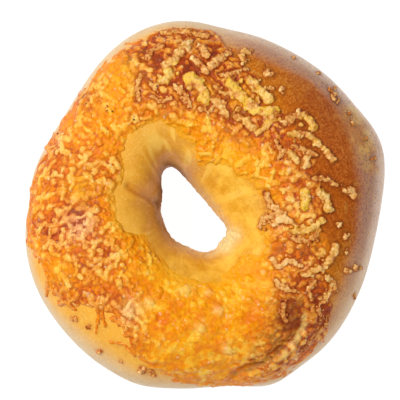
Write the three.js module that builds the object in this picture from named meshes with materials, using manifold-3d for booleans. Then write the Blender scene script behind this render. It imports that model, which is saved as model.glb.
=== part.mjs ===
// A cheese-topped bagel: one ring of baked dough with grated cheese melted onto its upper side.
// Millimetres, +Z up. The flat underside lies in the plane Z = 0, and the origin is the middle of
// the bagel's outline on that plane. Angles round the ring are in degrees, counter-clockwise from +X.
import * as THREE from "three";
import { mergeVertices } from "three/addons/utils/BufferGeometryUtils.js";
import Module from "manifold-3d";

const wasm = await Module();
wasm.setup();

// ---------------------------------------------------------------- driving dimensions
const RIM_RADIUS = 57; // typical reach of the rim from the origin
const HOLE_RADIUS = 9.6; // typical radius of the hole at its neck
const HOLE_CENTRE = new THREE.Vector2(-4.6, -2.4);
const CROWN_HEIGHT = 40; // typical height of the top of the ring
const WAIST_HEIGHT = 16; // where the ring is widest
const TRAY_FLAT = 2.2; // how much of the round underside the oven tray has pressed flat
const UPPER_FULLNESS = 2.15; // superellipse power of the dome; 2 is an ellipse
const LOWER_FULLNESS = 2.7; // superellipse power below the waist

// Each swell is [angle, rise, spread]: how far the outline stands out there, and over what arc.
const RIM_SWELLS = [
  [20, 2.6, 14], // shoulder on the right
  [65, -1.3, 20],
  [105, 2.4, 24], // bulge at the back
  [147, -4.4, 24], // long flat at the back left
  [205, 2.6, 20],
  [242, 3.6, 26], // fullest part, front left
  [290, 3.0, 9], // nose of the overlapping dough end
  [306, 2.3, 16],
  [348, -1.8, 18],
];
const HOLE_SWELLS = [
  [118, 6.3, 21], // pointed corner, back left
  [200, -0.6, 24],
  [243, 0.5, 16],
  [304, 4.6, 36], // wide corner, front right
  [335, 2.2, 18],
];
// One side of the hole is straight: it faces this angle, this far from the hole's centre.
const HOLE_FLAT = { angle: 40, distance: 6.1, softness: 1.4 };
const CROWN_SWELLS = [
  [30, 1.8, 40],
  [150, -2.6, 34],
  [235, 1.0, 40],
  [300, -1.2, 26],
];

// How far across the ring the cheese reaches, as a share of the way from the hole to the rim.
const CHEESE_INNER = 0.3;
const CHEESE_INNER_SWELLS = [
  [70, -0.16, 28],
  [250, -0.08, 30],
];
const CHEESE_OUTER = 0.8;
const CHEESE_OUTER_SWELLS = [
  [0, -0.1, 30],
  [45, -0.08, 22],
  [115, 0.14, 30],
  [165, 0.2, 34],
  [205, 0.1, 20],
  [275, 0.16, 20],
  [300, 0.08, 16],
];
const CHEESE_EDGE = 0.05; // share of the width over which the melted layer thins out

const MELT_THICKNESS = 0.7;
const DOUGH_WAVE = { height: 0.5, length: 34 };
const MELT_WAVE = { height: 0.8, length: 9 };

const RING_SEGMENTS = 88;
const SECTION_SEGMENTS = 30;
const TOP_SHARE = 0.66; // share of a section's segments that lie above the waist

// The dough was rolled into a rope and its ends were pressed together. What is left of the join, in
// plan: the rounded lip of one end, and a crease on each side of the ring. The lip's points are
// [x, y, depth], with the depth of its middle under the crust, so that both its ends sink away.
const LIP_WIDTH = 5.6;
const LIP = [
  [8, -55, 4],
  [13, -54, 1.4],
  [19, -51.5, 0.8],
  [25, -47, 0.7],
  [30, -42, 0.8],
  [33.5, -37, 1.2],
  [34.5, -32, 4],
];
const SEAM_WIDTH = 3.2;
const OUTER_SEAM = [
  [5.5, -57],
  [12, -52],
  [19.5, -49],
  [26.5, -42.5],
  [30.5, -38],
  [31.5, -34],
];
const INNER_SEAM = [
  [-25.5, 7],
  [-21.5, 4.5],
  [-17.5, 2.5],
  [-14, -0.5],
];

// Long shreds that lie clear on the browned crust, each a short route in plan.
const SHRED_WIDTH = 2.2;
const SHRED_ROUTES = [
  [[9, 43], [12.5, 47], [16, 46.5]],
  [[12, 47.5], [14.5, 50], [18.5, 50]],
  [[2.5, 43.5], [6, 47], [9, 50]],
  [[5.5, 37.5], [11, 38.5], [15.5, 41]],
  [[-6, 38], [-2, 44], [3.5, 49]],
  [[8, 31], [12.5, 35.5], [17, 38.5]],
  [[17, 37], [20.5, 34], [23, 30]],
  [[-1.5, 36.5], [4, 33], [7.5, 27.5]],
  [[13, 31], [17, 29], [23, 28.5]],
  [[22, 25.5], [26, 27], [28, 23.5], [30.5, 26], [33.5, 22.5]],
  [[25, 21], [30.5, 21.5], [34.5, 18.5], [38.5, 13.5]],
  [[29, 18], [34, 15.5], [38.5, 11.5]],
  [[28, 10.5], [32, 12], [36, 9]],
  [[31, 5], [34.5, 1], [37.5, -3.5]],
  [[37, 4.5], [39.5, 0], [37.5, -4.5]],
  [[28, -8.5], [33, -10], [38, -8.5], [36, -13]],
  [[31, -16], [35.5, -20.5], [41, -12.5]],
  [[38.5, -26.5], [42.5, -22.5], [41.5, -18]],
  [[28.5, -30], [35, -24], [42, -31]],
  [[-47, -20], [-45.5, -26], [-46.5, -31.5]],
  [[-28.5, -37], [-32.5, -40.5], [-31.5, -45]],
  [[-22.5, -35], [-17.5, -40.5], [-12, -43.5]],
  [[-24, -46.5], [-18, -48.5], [-13, -47.5]],
];

// Loose crumbs of toasted cheese, [x, y, size] in plan.
const CRUMBS = [
  [45, -1.5, 3.0], [43.5, -10.5, 1.9], [44.3, -15.2, 1.5], [47.5, -21, 1.9], [44.5, -22, 1.7],
  [47.8, -28, 2.4], [44, -31, 1.8], [20, 41, 2.2], [27.5, 40.5, 1.8], [47, 29, 1.8],
  [49.5, 25.5, 1.6], [52, 18, 1.8], [-41, -36, 1.8], [-37, -38.5, 1.4], [-33, -46.5, 1.6],
  [-19, -52, 2.2], [-15.5, -52.8, 2.0], [36, 41.5, 1.4],
];

const FIELD_SHREDS = 20; // shreds spread over the melted layer by rule
const FIELD_CRUMBS = 16;
const GOLDEN_ANGLE = 137.5;
const TURN_STEP = 77; // degrees between the headings of one field shred and the next
const FIELD_LIMIT = 0.88; // field shreds and crumbs keep this far in from the steep side
const SHRED_SIDES = 4;
const CREASE_SIDES = 6;
const LIP_SIDES = 8;
const PROUD = 0.08; // how far a shred's or crumb's middle stands off the crust, as a share of its size

// ---------------------------------------------------------------- shape of the ring
const radians = THREE.MathUtils.degToRad;

// A base value plus the swells that are near this angle round the ring.
function swollen(base, swells, angle) {
  return swells.reduce((sum, [at, rise, spread]) => {
    const away = THREE.MathUtils.euclideanModulo(angle - at + 180, 360) - 180;
    return sum + rise * Math.exp(-((away / spread) ** 2));
  }, base);
}

function fromAngle(radius, angle) {
  return new THREE.Vector2(radius * Math.cos(radians(angle)), radius * Math.sin(radians(angle)));
}

function rimPoint(angle) {
  return fromAngle(swollen(RIM_RADIUS, RIM_SWELLS, angle), angle);
}

// The lesser of two lengths, blended where they are nearly equal.
function softLeast(a, b, softness) {
  return (a + b - Math.hypot(a - b, softness)) / 2;
}

function holePoint(angle) {
  const round = swollen(HOLE_RADIUS, HOLE_SWELLS, angle);
  const facing = Math.max(Math.cos(radians(angle - HOLE_FLAT.angle)), 0.2);
  const radius = softLeast(round, HOLE_FLAT.distance / facing, HOLE_FLAT.softness);
  return fromAngle(radius, angle).add(HOLE_CENTRE);
}

function softPower(value, power) {
  return Math.sign(value) * Math.abs(value) ** power;
}

// A slow wave of three crossing ripples, between about -1 and 1.
function ripple(point, length) {
  const turns = (2 * Math.PI) / length;
  return (
    (Math.sin(turns * (point.x + 0.4 * point.y)) +
      Math.sin(turns * (0.8 * point.y - 0.5 * point.x) + 1.7) +
      Math.sin(turns * (0.9 * point.z + 0.5 * point.x) + 4.1)) /
    3
  );
}

// The plain ring at an angle round it and an angle round its section:
// 0 is the rim, 90 the crown, 180 the hole and 270 the underside.
function ringPoint(angle, section) {
  const rim = rimPoint(angle);
  const hole = holePoint(angle);
  const middle = rim.clone().add(hole).multiplyScalar(0.5);
  const reach = rim.clone().sub(hole).multiplyScalar(0.5);
  const across = Math.cos(radians(section));
  const up = Math.sin(radians(section));
  const power = 2 / (up >= 0 ? UPPER_FULLNESS : LOWER_FULLNESS);
  const crown = swollen(CROWN_HEIGHT, CROWN_SWELLS, angle) - WAIST_HEIGHT;
  const depth = up >= 0 ? crown : WAIST_HEIGHT + TRAY_FLAT;
  const plan = middle.add(reach.multiplyScalar(softPower(across, power)));
  return new THREE.Vector3(plan.x, plan.y, WAIST_HEIGHT + depth * softPower(up, power));
}

function smoothStep(low, high, value) {
  return THREE.MathUtils.smoothstep(value, low, high);
}

// 1 where melted cheese covers the crust, 0 where it is bare.
function cheeseCover(angle, section) {
  if (section > 180) return 0;
  const share = (1 + softPower(Math.cos(radians(section)), 2 / UPPER_FULLNESS)) / 2;
  const inner = swollen(CHEESE_INNER, CHEESE_INNER_SWELLS, angle);
  const outer = swollen(CHEESE_OUTER, CHEESE_OUTER_SWELLS, angle);
  return (
    smoothStep(inner - CHEESE_EDGE, inner + CHEESE_EDGE, share) *
    (1 - smoothStep(outer - CHEESE_EDGE, outer + CHEESE_EDGE, share))
  );
}

// How far the real surface stands off the plain ring, along its outward direction. The dough's slow
// wave fades out at the rim and in the hole, which keeps both outlines true.
function relief(point, angle, section) {
  const fade = Math.abs(Math.sin(radians(section)));
  const dough = DOUGH_WAVE.height * fade * ripple(point, DOUGH_WAVE.length);
  const melt = MELT_THICKNESS + MELT_WAVE.height * ripple(point, MELT_WAVE.length);
  return dough + melt * cheeseCover(angle, section);
}

function outward(angle, section) {
  const step = 1;
  const along = ringPoint(angle + step, section).sub(ringPoint(angle - step, section));
  const over = ringPoint(angle, section + step).sub(ringPoint(angle, section - step));
  return along.cross(over).normalize();
}

function crustPoint(angle, section) {
  const plain = ringPoint(angle, section);
  const raised = outward(angle, section).multiplyScalar(relief(plain, angle, section));
  const point = plain.clone().add(raised);
  point.z = Math.max(point.z, 0);
  return point;
}

// The angle round the ring and round its upper section under a place in plan.
function underPlan(x, y) {
  const place = new THREE.Vector2(x, y);
  const side = (angle) => {
    const rim = rimPoint(angle);
    const hole = holePoint(angle);
    return rim.clone().sub(hole).cross(place.clone().sub(hole));
  };
  let angle = THREE.MathUtils.radToDeg(Math.atan2(y - HOLE_CENTRE.y, x - HOLE_CENTRE.x));
  for (let round = 0; round < 8; round++) {
    const slope = side(angle + 0.5) - side(angle - 0.5);
    angle -= THREE.MathUtils.clamp(side(angle) / slope, -20, 20);
  }
  const rim = rimPoint(angle);
  const hole = holePoint(angle);
  const share = place.clone().sub(hole).dot(rim.clone().sub(hole)) / rim.distanceToSquared(hole);
  const across = THREE.MathUtils.clamp(2 * share - 1, -1, 1);
  const section = THREE.MathUtils.radToDeg(Math.acos(softPower(across, UPPER_FULLNESS / 2)));
  return [angle, section];
}

// The place on the crust over a place in plan, raised off it by lift.
function onCrust(x, y, lift) {
  const at = underPlan(x, y);
  return crustPoint(...at).add(outward(...at).multiplyScalar(lift));
}

// ---------------------------------------------------------------- solids
function solidFrom(geometry) {
  geometry.deleteAttribute("normal");
  geometry.deleteAttribute("uv");
  const merged = mergeVertices(geometry, 1e-4);
  return new wasm.Manifold(
    new wasm.Mesh({
      numProp: 3,
      vertProperties: merged.attributes.position.array,
      triVerts: new Uint32Array(merged.index.array),
    }),
  );
}

function geometryFrom(solid) {
  const mesh = solid.getMesh();
  return new THREE.BufferGeometry()
    .setAttribute("position", new THREE.BufferAttribute(mesh.vertProperties, 3))
    .setIndex(new THREE.BufferAttribute(mesh.triVerts, 1));
}

// The baked ring: a torus whose every point is moved onto the crust. The torus carries its place
// round the ring and round the section as texture coordinates, both from 0 to 1.
function doughRing() {
  const geometry = new THREE.TorusGeometry(2, 1, SECTION_SEGMENTS, RING_SEGMENTS);
  const { position, uv } = geometry.attributes;
  for (let i = 0; i < position.count; i++) {
    const turn = uv.getY(i) % 1;
    const above = turn / TOP_SHARE;
    const below = (turn - TOP_SHARE) / (1 - TOP_SHARE);
    const section = 180 * (above <= 1 ? above : 1 + below);
    position.setXYZ(i, ...crustPoint(360 * (uv.getX(i) % 1), section));
  }
  return solidFrom(geometry);
}

// A strip swept along a route over the crust, its middle raised off it by lift less the depth that a
// point of the route states.
function strip(route, width, lift, sides) {
  const section = new THREE.Shape(
    Array.from({ length: sides }, (_, i) => fromAngle(width / 2, (360 * i) / sides)),
  );
  const extrudePath = new THREE.CatmullRomCurve3(
    route.map(([x, y, depth = 0]) => onCrust(x, y, lift - depth)),
  );
  const steps = 2 * (route.length - 1);
  return solidFrom(new THREE.ExtrudeGeometry(section, { steps, extrudePath }));
}

function shred(route, width) {
  return strip(route, width, PROUD * width, SHRED_SIDES);
}

function crumb(x, y, size, turn) {
  const geometry = new THREE.IcosahedronGeometry(size / 2, 0);
  geometry.scale(1, 0.85, 0.8);
  geometry.rotateZ(radians(turn));
  geometry.translate(...onCrust(x, y, PROUD * size));
  return solidFrom(geometry);
}

// A place in plan on the cheese. The places 0 to count - 1 lie evenly over it.
function fieldPlace(i, count) {
  const angle = (i * GOLDEN_ANGLE) % 360;
  const inner = swollen(CHEESE_INNER, CHEESE_INNER_SWELLS, angle);
  const outer = swollen(CHEESE_OUTER, CHEESE_OUTER_SWELLS, angle);
  const share = THREE.MathUtils.lerp(inner, Math.min(outer, FIELD_LIMIT), (i + 0.5) / count);
  return holePoint(angle).lerp(rimPoint(angle), share);
}

function fieldShreds() {
  return Array.from({ length: FIELD_SHREDS }, (_, i) => {
    const middle = fieldPlace(i, FIELD_SHREDS);
    const half = fromAngle(3 + (i % 4), i * TURN_STEP);
    const bend = fromAngle(1.2, i * TURN_STEP + 90);
    const route = [middle.clone().sub(half), middle.clone().add(bend), middle.clone().add(half)];
    return shred(route, SHRED_WIDTH);
  });
}

function fieldCrumbs() {
  return Array.from({ length: FIELD_CRUMBS }, (_, i) => {
    const [x, y] = fieldPlace(i + 0.5, FIELD_CRUMBS);
    return crumb(x, y, 2.2 + 0.3 * (i % 5), i * TURN_STEP);
  });
}

// The biggest of a solid's separate pieces, without any loose scrap or sealed hollow.
function mainPiece(solid) {
  return solid.decompose().reduce((most, piece) => (piece.volume() > most.volume() ? piece : most));
}

function bagel() {
  const lip = strip(LIP, LIP_WIDTH, 0, LIP_SIDES);
  const creases = [OUTER_SEAM, INNER_SEAM].map((route) => strip(route, SEAM_WIDTH, 0, CREASE_SIDES));
  const toppings = [
    ...SHRED_ROUTES.map((route) => shred(route, SHRED_WIDTH)),
    ...fieldShreds(),
    ...CRUMBS.map(([x, y, size], i) => crumb(x, y, size, i * TURN_STEP)),
    ...fieldCrumbs(),
  ];
  const dough = creases.reduce((solid, crease) => solid.subtract(crease), doughRing().add(lip));
  return mainPiece(toppings.reduce((solid, topping) => solid.add(topping), dough));
}

// Slides a geometry in plan until the middle of its box is over the origin.
function centred(geometry) {
  geometry.computeBoundingBox();
  const middle = geometry.boundingBox.getCenter(new THREE.Vector3());
  return geometry.translate(-middle.x, -middle.y, 0);
}

// ---------------------------------------------------------------- model
const crust = new THREE.MeshStandardMaterial({ color: 0xe6962c, roughness: 0.5, metalness: 0 });
const mesh = new THREE.Mesh(centred(geometryFrom(bagel())), crust);
mesh.name = "bagel";

const group = new THREE.Group();
group.add(mesh);

export default group;
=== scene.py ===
# %% [markdown]
# # A cheese bagel
#
# A bagel is a rope of dough, joined end to end, boiled and then baked. This one has grated cheese
# on it, which melted, spread and toasted in the oven. This lesson builds it in Blender from five
# pieces: the crust, the melted layer, the shreds that kept their shape, the loose crumbs, and a few
# burnt specks.
#
# Lengths are in millimetres until a mesh is finished, and angles are in degrees, counter-clockwise
# round the ring from +X. Each piece is scaled to metres once, at its end. Two things here draw at
# random, NumPy and Blender's vector noise, and one seed makes both repeat in every run.

# %% Load the frame
import math

import bmesh
import bpy
import numpy as np
from mathutils import Matrix, Vector, noise
from mathutils.kdtree import KDTree


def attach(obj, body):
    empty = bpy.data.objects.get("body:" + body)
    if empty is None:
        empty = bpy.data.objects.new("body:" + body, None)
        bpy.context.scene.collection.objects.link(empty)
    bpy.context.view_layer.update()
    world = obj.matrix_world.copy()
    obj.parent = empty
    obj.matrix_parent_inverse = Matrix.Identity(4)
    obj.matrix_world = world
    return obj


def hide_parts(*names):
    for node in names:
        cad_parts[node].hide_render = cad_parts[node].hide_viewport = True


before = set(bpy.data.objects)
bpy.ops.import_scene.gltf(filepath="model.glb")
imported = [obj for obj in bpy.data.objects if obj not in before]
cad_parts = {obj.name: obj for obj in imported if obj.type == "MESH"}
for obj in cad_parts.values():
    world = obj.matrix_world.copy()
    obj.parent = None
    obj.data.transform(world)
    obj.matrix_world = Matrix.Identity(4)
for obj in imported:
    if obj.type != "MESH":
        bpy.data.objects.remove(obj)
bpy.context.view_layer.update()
MM = 0.001
SEED = 41
rng = np.random.default_rng(SEED)
noise.seed_set(SEED)

# %% [markdown]
# ## The outline of the ring
#
# A hand-rolled ring is never round. Its rim and its hole could each be traced with a spline, but a
# base radius with a few swells is shorter and easier to tune: each swell says at what angle the
# outline stands out, by how much, and over what arc. One side of this hole is straight, where the
# thick part of the rope has been pushed into it.

# %% Rim and hole in plan
RIM_RADIUS = 57
HOLE_RADIUS = 9.6
HOLE_CENTRE = np.array([-4.6, -2.4])
RIM_SWELLS = [
    (20, 2.6, 14),
    (31, -0.7, 10),
    (65, -1.3, 20),
    (84, -1.2, 10),
    (105, 2.4, 24),
    (147, -4.4, 24),
    (180, -0.9, 8),
    (206, 2.0, 20),
    (242, 3.6, 26),
    (250, 0.6, 7),
    (290, 3.0, 9),
    (306, 2.3, 16),
    (348, -1.8, 18),
]
HOLE_SWELLS = [(118, 6.3, 21), (200, -0.6, 24), (243, 0.5, 16), (304, 4.6, 36), (335, 2.2, 18)]
HOLE_FLAT_ANGLE = 40
HOLE_FLAT_DISTANCE = 6.1
HOLE_FLAT_SOFTNESS = 1.4


def swollen(base, swells, angle):
    """The base value plus the swells that are near each angle."""
    total = np.full(np.shape(angle), float(base))
    for at, rise, spread in swells:
        away = (angle - at + 180) % 360 - 180
        total += rise * np.exp(-((away / spread) ** 2))
    return total


def from_angle(radius, angle):
    turn = np.radians(angle)
    return np.stack([radius * np.cos(turn), radius * np.sin(turn)], axis=-1)


def rim_point(angle):
    return from_angle(swollen(RIM_RADIUS, RIM_SWELLS, angle), angle)


def hole_point(angle):
    curved = swollen(HOLE_RADIUS, HOLE_SWELLS, angle)
    facing = np.maximum(np.cos(np.radians(angle - HOLE_FLAT_ANGLE)), 0.2)
    straight = HOLE_FLAT_DISTANCE / facing
    least = (curved + straight - np.hypot(curved - straight, HOLE_FLAT_SOFTNESS)) / 2
    return from_angle(least, angle) + HOLE_CENTRE


turns = np.arange(0.0, 360.0)
print("the rim measures", np.ptp(rim_point(turns), axis=0).round(1), "mm")
print("the hole measures", np.ptp(hole_point(turns), axis=0).round(1), "mm")

# %% [markdown]
# ## The section of the ring
#
# Cut through, the rope is an oval that the tray has pressed flat underneath. A superellipse gives
# that with two numbers: how full it is above its widest line and how full below. The section runs
# from 0 at the rim, over the crown at 90 and the hole at 180, to the underside at 270.

# %% Section
CROWN_HEIGHT = 40
CROWN_SWELLS = [(30, 1.8, 40), (150, -2.6, 34), (235, 1.0, 40), (300, -1.2, 26)]
WAIST_HEIGHT = 16
TRAY_FLAT = 2.2
UPPER_FULLNESS = 2.15
LOWER_FULLNESS = 2.7


def soft_power(value, power):
    return np.sign(value) * np.abs(value) ** power


def ring_point(angle, section):
    """The plain ring, as an array of points, before anything stands on it or sinks into it."""
    rim = rim_point(angle)
    hole = hole_point(angle)
    across = np.cos(np.radians(section))
    up = np.sin(np.radians(section))
    power = np.where(up >= 0, 2 / UPPER_FULLNESS, 2 / LOWER_FULLNESS)
    crown = swollen(CROWN_HEIGHT, CROWN_SWELLS, angle) - WAIST_HEIGHT
    depth = np.where(up >= 0, crown, WAIST_HEIGHT + TRAY_FLAT)
    plan = (rim + hole) / 2 + (rim - hole) / 2 * soft_power(across, power)[:, None]
    return np.column_stack([plan, WAIST_HEIGHT + depth * soft_power(up, power)])


crown_line = ring_point(turns, np.full(len(turns), 90.0))
print("the crown is", crown_line[:, 2].min().round(1), "to", crown_line[:, 2].max().round(1), "mm high")

# %% The way out of the dough, and its slow waves
DOUGH_WAVE = 0.5
DOUGH_WAVE_LENGTH = 34


def outward(angle, section):
    """The direction that faces away from the dough, from two steps along the surface."""
    along = ring_point(angle + 1, section) - ring_point(angle - 1, section)
    over = ring_point(angle, section + 1) - ring_point(angle, section - 1)
    facing = np.cross(along, over)
    return facing / np.linalg.norm(facing, axis=1, keepdims=True)


def ripple(points, length):
    """A slow wave of three crossing ripples."""
    x, y, z = (points * 2 * np.pi / length).T
    return (np.sin(x + 0.4 * y) + np.sin(0.8 * y - 0.5 * x + 1.7) + np.sin(0.9 * z + 0.5 * x + 4.1)) / 3


def dough_wave(points, section):
    """How far the proved dough bulges or sinks, which fades where the ring is narrowest."""
    return DOUGH_WAVE * np.abs(np.sin(np.radians(section))) * ripple(points, DOUGH_WAVE_LENGTH)


print("along the crown the dough waves by", np.ptp(dough_wave(crown_line, 90)).round(2), "mm")

# %% [markdown]
# ## Finding the crust under a place in plan
#
# The clear shreds and crumbs are laid out from above, as a baker would see them. To set one on the
# crust, the place is turned into an angle and a section by a few rounds of Newton's method, which
# closes in on the answer much faster than searching the mesh does.

# %% From plan to surface
def under_plan(places):
    """Angle and section under each place of an (n, 2) array."""
    def miss(angle):
        rim, hole = rim_point(angle), hole_point(angle)
        a, b = rim - hole, places - hole
        return a[:, 0] * b[:, 1] - a[:, 1] * b[:, 0]

    from_hole = places - HOLE_CENTRE
    angle = np.degrees(np.arctan2(from_hole[:, 1], from_hole[:, 0]))
    for _ in range(6):
        slope = miss(angle + 0.5) - miss(angle - 0.5)
        angle = angle - np.clip(miss(angle) / slope, -20, 20)
    rim, hole = rim_point(angle), hole_point(angle)
    span = rim - hole
    share = np.sum((places - hole) * span, axis=1) / np.sum(span**2, axis=1)
    across = np.clip(2 * share - 1, -1, 1)
    return angle, np.degrees(np.arccos(soft_power(across, UPPER_FULLNESS / 2)))


sample_angle, sample_section = under_plan(np.array([[0.0, -33.0]]))
print("33 mm in front is angle", sample_angle.round(1)[0], "and section", sample_section.round(1)[0])


# %% A place on the crust
def on_crust(places, lift=0.0):
    """The crust over each place in plan, raised off it by lift."""
    angle, section = under_plan(np.asarray(places, float))
    points = ring_point(angle, section)
    rise = dough_wave(points, section) + lift
    return points + outward(angle, section) * np.reshape(rise, (-1, 1))


print("the crust there lies at", on_crust([(0, -33)]).round(1)[0])

# %% [markdown]
# ## Soft shapes
#
# Nothing on a bagel has a hard border. Three small functions describe all that follows: a soft step
# between two values, a sum of round soft spots, and a smooth noise. An image could be painted by
# hand for the same purpose, but functions keep their detail at any size and are quick to change.


# %% Steps, spots and grain
def smooth_step(low, high, value):
    """0 below low, 1 above high, and a smooth curve between them."""
    t = np.clip((value - low) / (high - low), 0, 1)
    return t * t * (3 - 2 * t)


def spots(points, places):
    """The sum of round soft spots, each (x, y, radius, strength) in plan."""
    total = np.zeros(len(points))
    for x, y, radius, strength in places:
        away = np.hypot(points[:, 0] - x, points[:, 1] - y)
        total += strength * np.exp(-((away / radius) ** 2))
    return total


def grain(points, size, seed):
    """Smooth noise from -1 to 1, with lumps of about that size."""
    shift = Vector((seed * 7.3, seed * 3.1, seed * 5.7))
    return np.array([noise.noise(Vector(p) / size + shift) for p in points])


grain_there = grain(crown_line, 5, 1)
print("grain along the crown runs from", grain_there.min().round(2), "to", grain_there.max().round(2))

# %% [markdown]
# ## A ring-shaped mesh
#
# Both the crust and the melted layer are closed rings, so one helper makes the mesh of each: a
# circle of edges, spun a full turn round Z. The spin's last step is merged onto its first, which
# keeps the ring closed. Every corner is then moved to where the surface is. A torus primitive
# would do as well, but bmesh has none, and the spin is what an artist would use by hand.

# %% Spun ring
def spun_ring(name, ring_steps, section_steps):
    """A plain torus and, for each of its corners, the angle and the turn round the section."""
    bm = bmesh.new()
    upright = Matrix.Translation((2, 0, 0)) @ Matrix.Rotation(math.pi / 2, 4, "X")
    bmesh.ops.create_circle(bm, segments=section_steps, radius=1, matrix=upright)
    bmesh.ops.spin(
        bm,
        geom=bm.verts[:] + bm.edges[:],
        axis=(0, 0, 1),
        cent=(0, 0, 0),
        steps=ring_steps,
        angle=2 * math.pi,
        use_merge=True,
    )
    bmesh.ops.recalc_face_normals(bm, faces=bm.faces[:])
    mesh = bpy.data.meshes.new(name)
    bm.to_mesh(mesh)
    bm.free()
    corners = np.empty(len(mesh.vertices) * 3, np.float32)
    mesh.vertices.foreach_get("co", corners)
    x, y, z = corners.reshape(-1, 3).astype(float).T
    angle = np.degrees(np.arctan2(y, x)) % 360
    turn = np.degrees(np.arctan2(z, np.hypot(x, y) - 2)) % 360 / 360
    return mesh, angle, turn


sample, _, _ = spun_ring("sample", 12, 8)
print("12 steps of 8 edges make", len(sample.vertices), "corners and", len(sample.polygons), "faces")
bpy.data.meshes.remove(sample)


# %% From the plain ring to its place
def spread_section(turn, share, upto):
    """Gives the stretch of the section from the rim up to that angle that share of the steps."""
    shown = upto * turn / share
    rest = upto + (360 - upto) * (turn - share) / (1 - share)
    return np.where(turn <= share, shown, rest)


def plain_ring(name, ring_steps, section_steps, top_share, top_angle):
    """A ring's mesh and, for each corner, its angle, section, place and way out of the dough."""
    mesh, angle, turn = spun_ring(name, ring_steps, section_steps)
    section = spread_section(turn, top_share, top_angle)
    return mesh, angle, section, ring_point(angle, section), outward(angle, section)


print("half the steps of the crust end at", spread_section(np.array([0.5]), 0.74, 180).round()[0], "degrees")


# %% A finished piece
def finished(mesh, points, **layers):
    """Moves the mesh's corners to points, adds each layer as an attribute, and makes the object."""
    mesh.vertices.foreach_set("co", (points * MM).astype(np.float32).ravel())
    for name, values in layers.items():
        layer = mesh.attributes.new(name, "FLOAT", "POINT")
        layer.data.foreach_set("value", np.asarray(values, np.float32))
    mesh.shade_smooth()
    mesh.update()
    piece = bpy.data.objects.new(mesh.name, mesh)
    bpy.context.scene.collection.objects.link(piece)
    low, high = points.min(axis=0).round(1), points.max(axis=0).round(1)
    print(piece.name, "has", len(mesh.vertices), "corners, from", low, "to", high)
    return piece


print("a finished piece is in metres: 1 mm is", MM)

# %% [markdown]
# ## The join in the dough
#
# Where the two ends of the rope were pressed together, one end laps over the other. It shows as a
# rounded lip with a crease beside it, and as a second crease on the far side of the hole. Both are
# made from the distance to a line in plan: a lip rises near its line, and a crease sinks.


# %% Lines in plan
def smooth_route(corners, step):
    """Points about one step apart along a smooth line through the corners, in plan."""
    corners = np.asarray(corners, float)
    ends = np.vstack([2 * corners[0] - corners[1], corners, 2 * corners[-1] - corners[-2]])
    route = []
    for a, b, c, d in zip(ends, ends[1:], ends[2:], ends[3:]):
        count = max(2, math.ceil(np.linalg.norm(c - b) / step))
        t = np.arange(count)[:, None] / count
        bend = 2 * b + (c - a) * t + (2 * a - 5 * b + 4 * c - d) * t**2 + (3 * b - a - 3 * c + d) * t**3
        route.append(bend / 2)
    return np.vstack([*route, corners[-1:]])


def from_line(points, line):
    """Distance in plan from each point to the line, and a factor that fades at the line's ends."""
    route = smooth_route(line, 0.5)
    away = np.full(len(points), np.inf)
    near = np.zeros(len(points), int)
    for i, place in enumerate(route):
        gap = np.hypot(points[:, 0] - place[0], points[:, 1] - place[1])
        closer = gap < away
        away[closer] = gap[closer]
        near[closer] = i
    along = near / (len(route) - 1)
    return away, smooth_step(0, 0.2, along) * smooth_step(0, 0.15, 1 - along)


def beside_line(points, line, width):
    """1 on the line, falling to 0 at half a width from it, and less towards the line's two ends."""
    away, fade = from_line(points, line)
    return fade * smooth_step(0, 1, 1 - away / (width / 2))


print("a bend with three corners becomes", len(smooth_route([(0, 0), (4, 0), (4, 4)], 0.5)), "points")

# %% Lip and creases
LIP = [(8, -55), (13, -54), (19, -51.5), (25, -47), (30, -42), (33.5, -37), (34.5, -32)]
LIP_WIDTH = 7.84
LIP_RISE = 1.1
OUTER_SEAM = [(5.5, -57), (12, -52), (19.5, -49), (26.5, -42.5), (30.5, -38), (31.5, -34)]
INNER_SEAM = [(-25.5, 7), (-21.5, 4.5), (-17.5, 2.5), (-14, -0.5)]
SEAM_WIDTH = 3.84
SEAM_DEPTH = 1.5


def join_relief(points):
    """How far the join lifts or sinks the crust, on its upper half only."""
    above = smooth_step(WAIST_HEIGHT, WAIST_HEIGHT + 4, points[:, 2])
    lip = LIP_RISE * beside_line(points, LIP, LIP_WIDTH)
    outer = SEAM_DEPTH * beside_line(points, OUTER_SEAM, SEAM_WIDTH)
    inner = SEAM_DEPTH * beside_line(points, INNER_SEAM, SEAM_WIDTH)
    return above * (lip - outer - inner)


print("the lip stands", join_relief(on_crust(LIP)).max().round(2), "mm above the dough")

# %% [markdown]
# ## How far the cheese spread
#
# The cheese was sprinkled by hand, so its outer edge wanders, and it stops short of the hole. Both
# edges are given as a radius at a few angles: the outer one from the middle of the bagel, and the
# inner one from the middle of the hole. It also ran no lower than a certain height down the side.
# A little noise frays both edges when the layer is built.

# %% Edges of the melted layer
OUTER_EDGE = [
    (2, 39), (15, 36.5), (35, 37), (53, 37.5), (66, 42), (79, 48), (88, 55.5), (105, 56.7),
    (116, 55.1), (124, 54.6), (135, 53), (145, 52), (155, 52.4), (165, 54), (176, 55.4), (191, 58),
    (199, 54.8), (215, 54.5), (222, 47.5), (230, 45.5), (238, 47), (243, 51), (252, 54),
    (263, 56.5), (280, 59.5), (296, 59.3), (310, 57.3), (320, 52), (330, 44.5), (340, 42),
    (349, 37.5),
]
INNER_EDGE = [
    (0, 24.3), (12, 23.7), (28, 21), (39, 18), (58, 17.3), (72, 14), (80, 15), (88, 21.5),
    (98, 23), (108, 29.5), (131, 30), (144, 25.4), (154, 22.3), (162, 24.5), (173, 23.7),
    (188, 20.7), (197, 20.5), (206, 15.4), (226, 15.1), (242, 15.8), (250, 19), (272, 19.4),
    (290, 22.4), (305, 22), (318, 20.6), (328, 24.3), (336, 25), (346, 22), (355, 21.8),
]
CHEESE_FLOOR = 22


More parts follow.
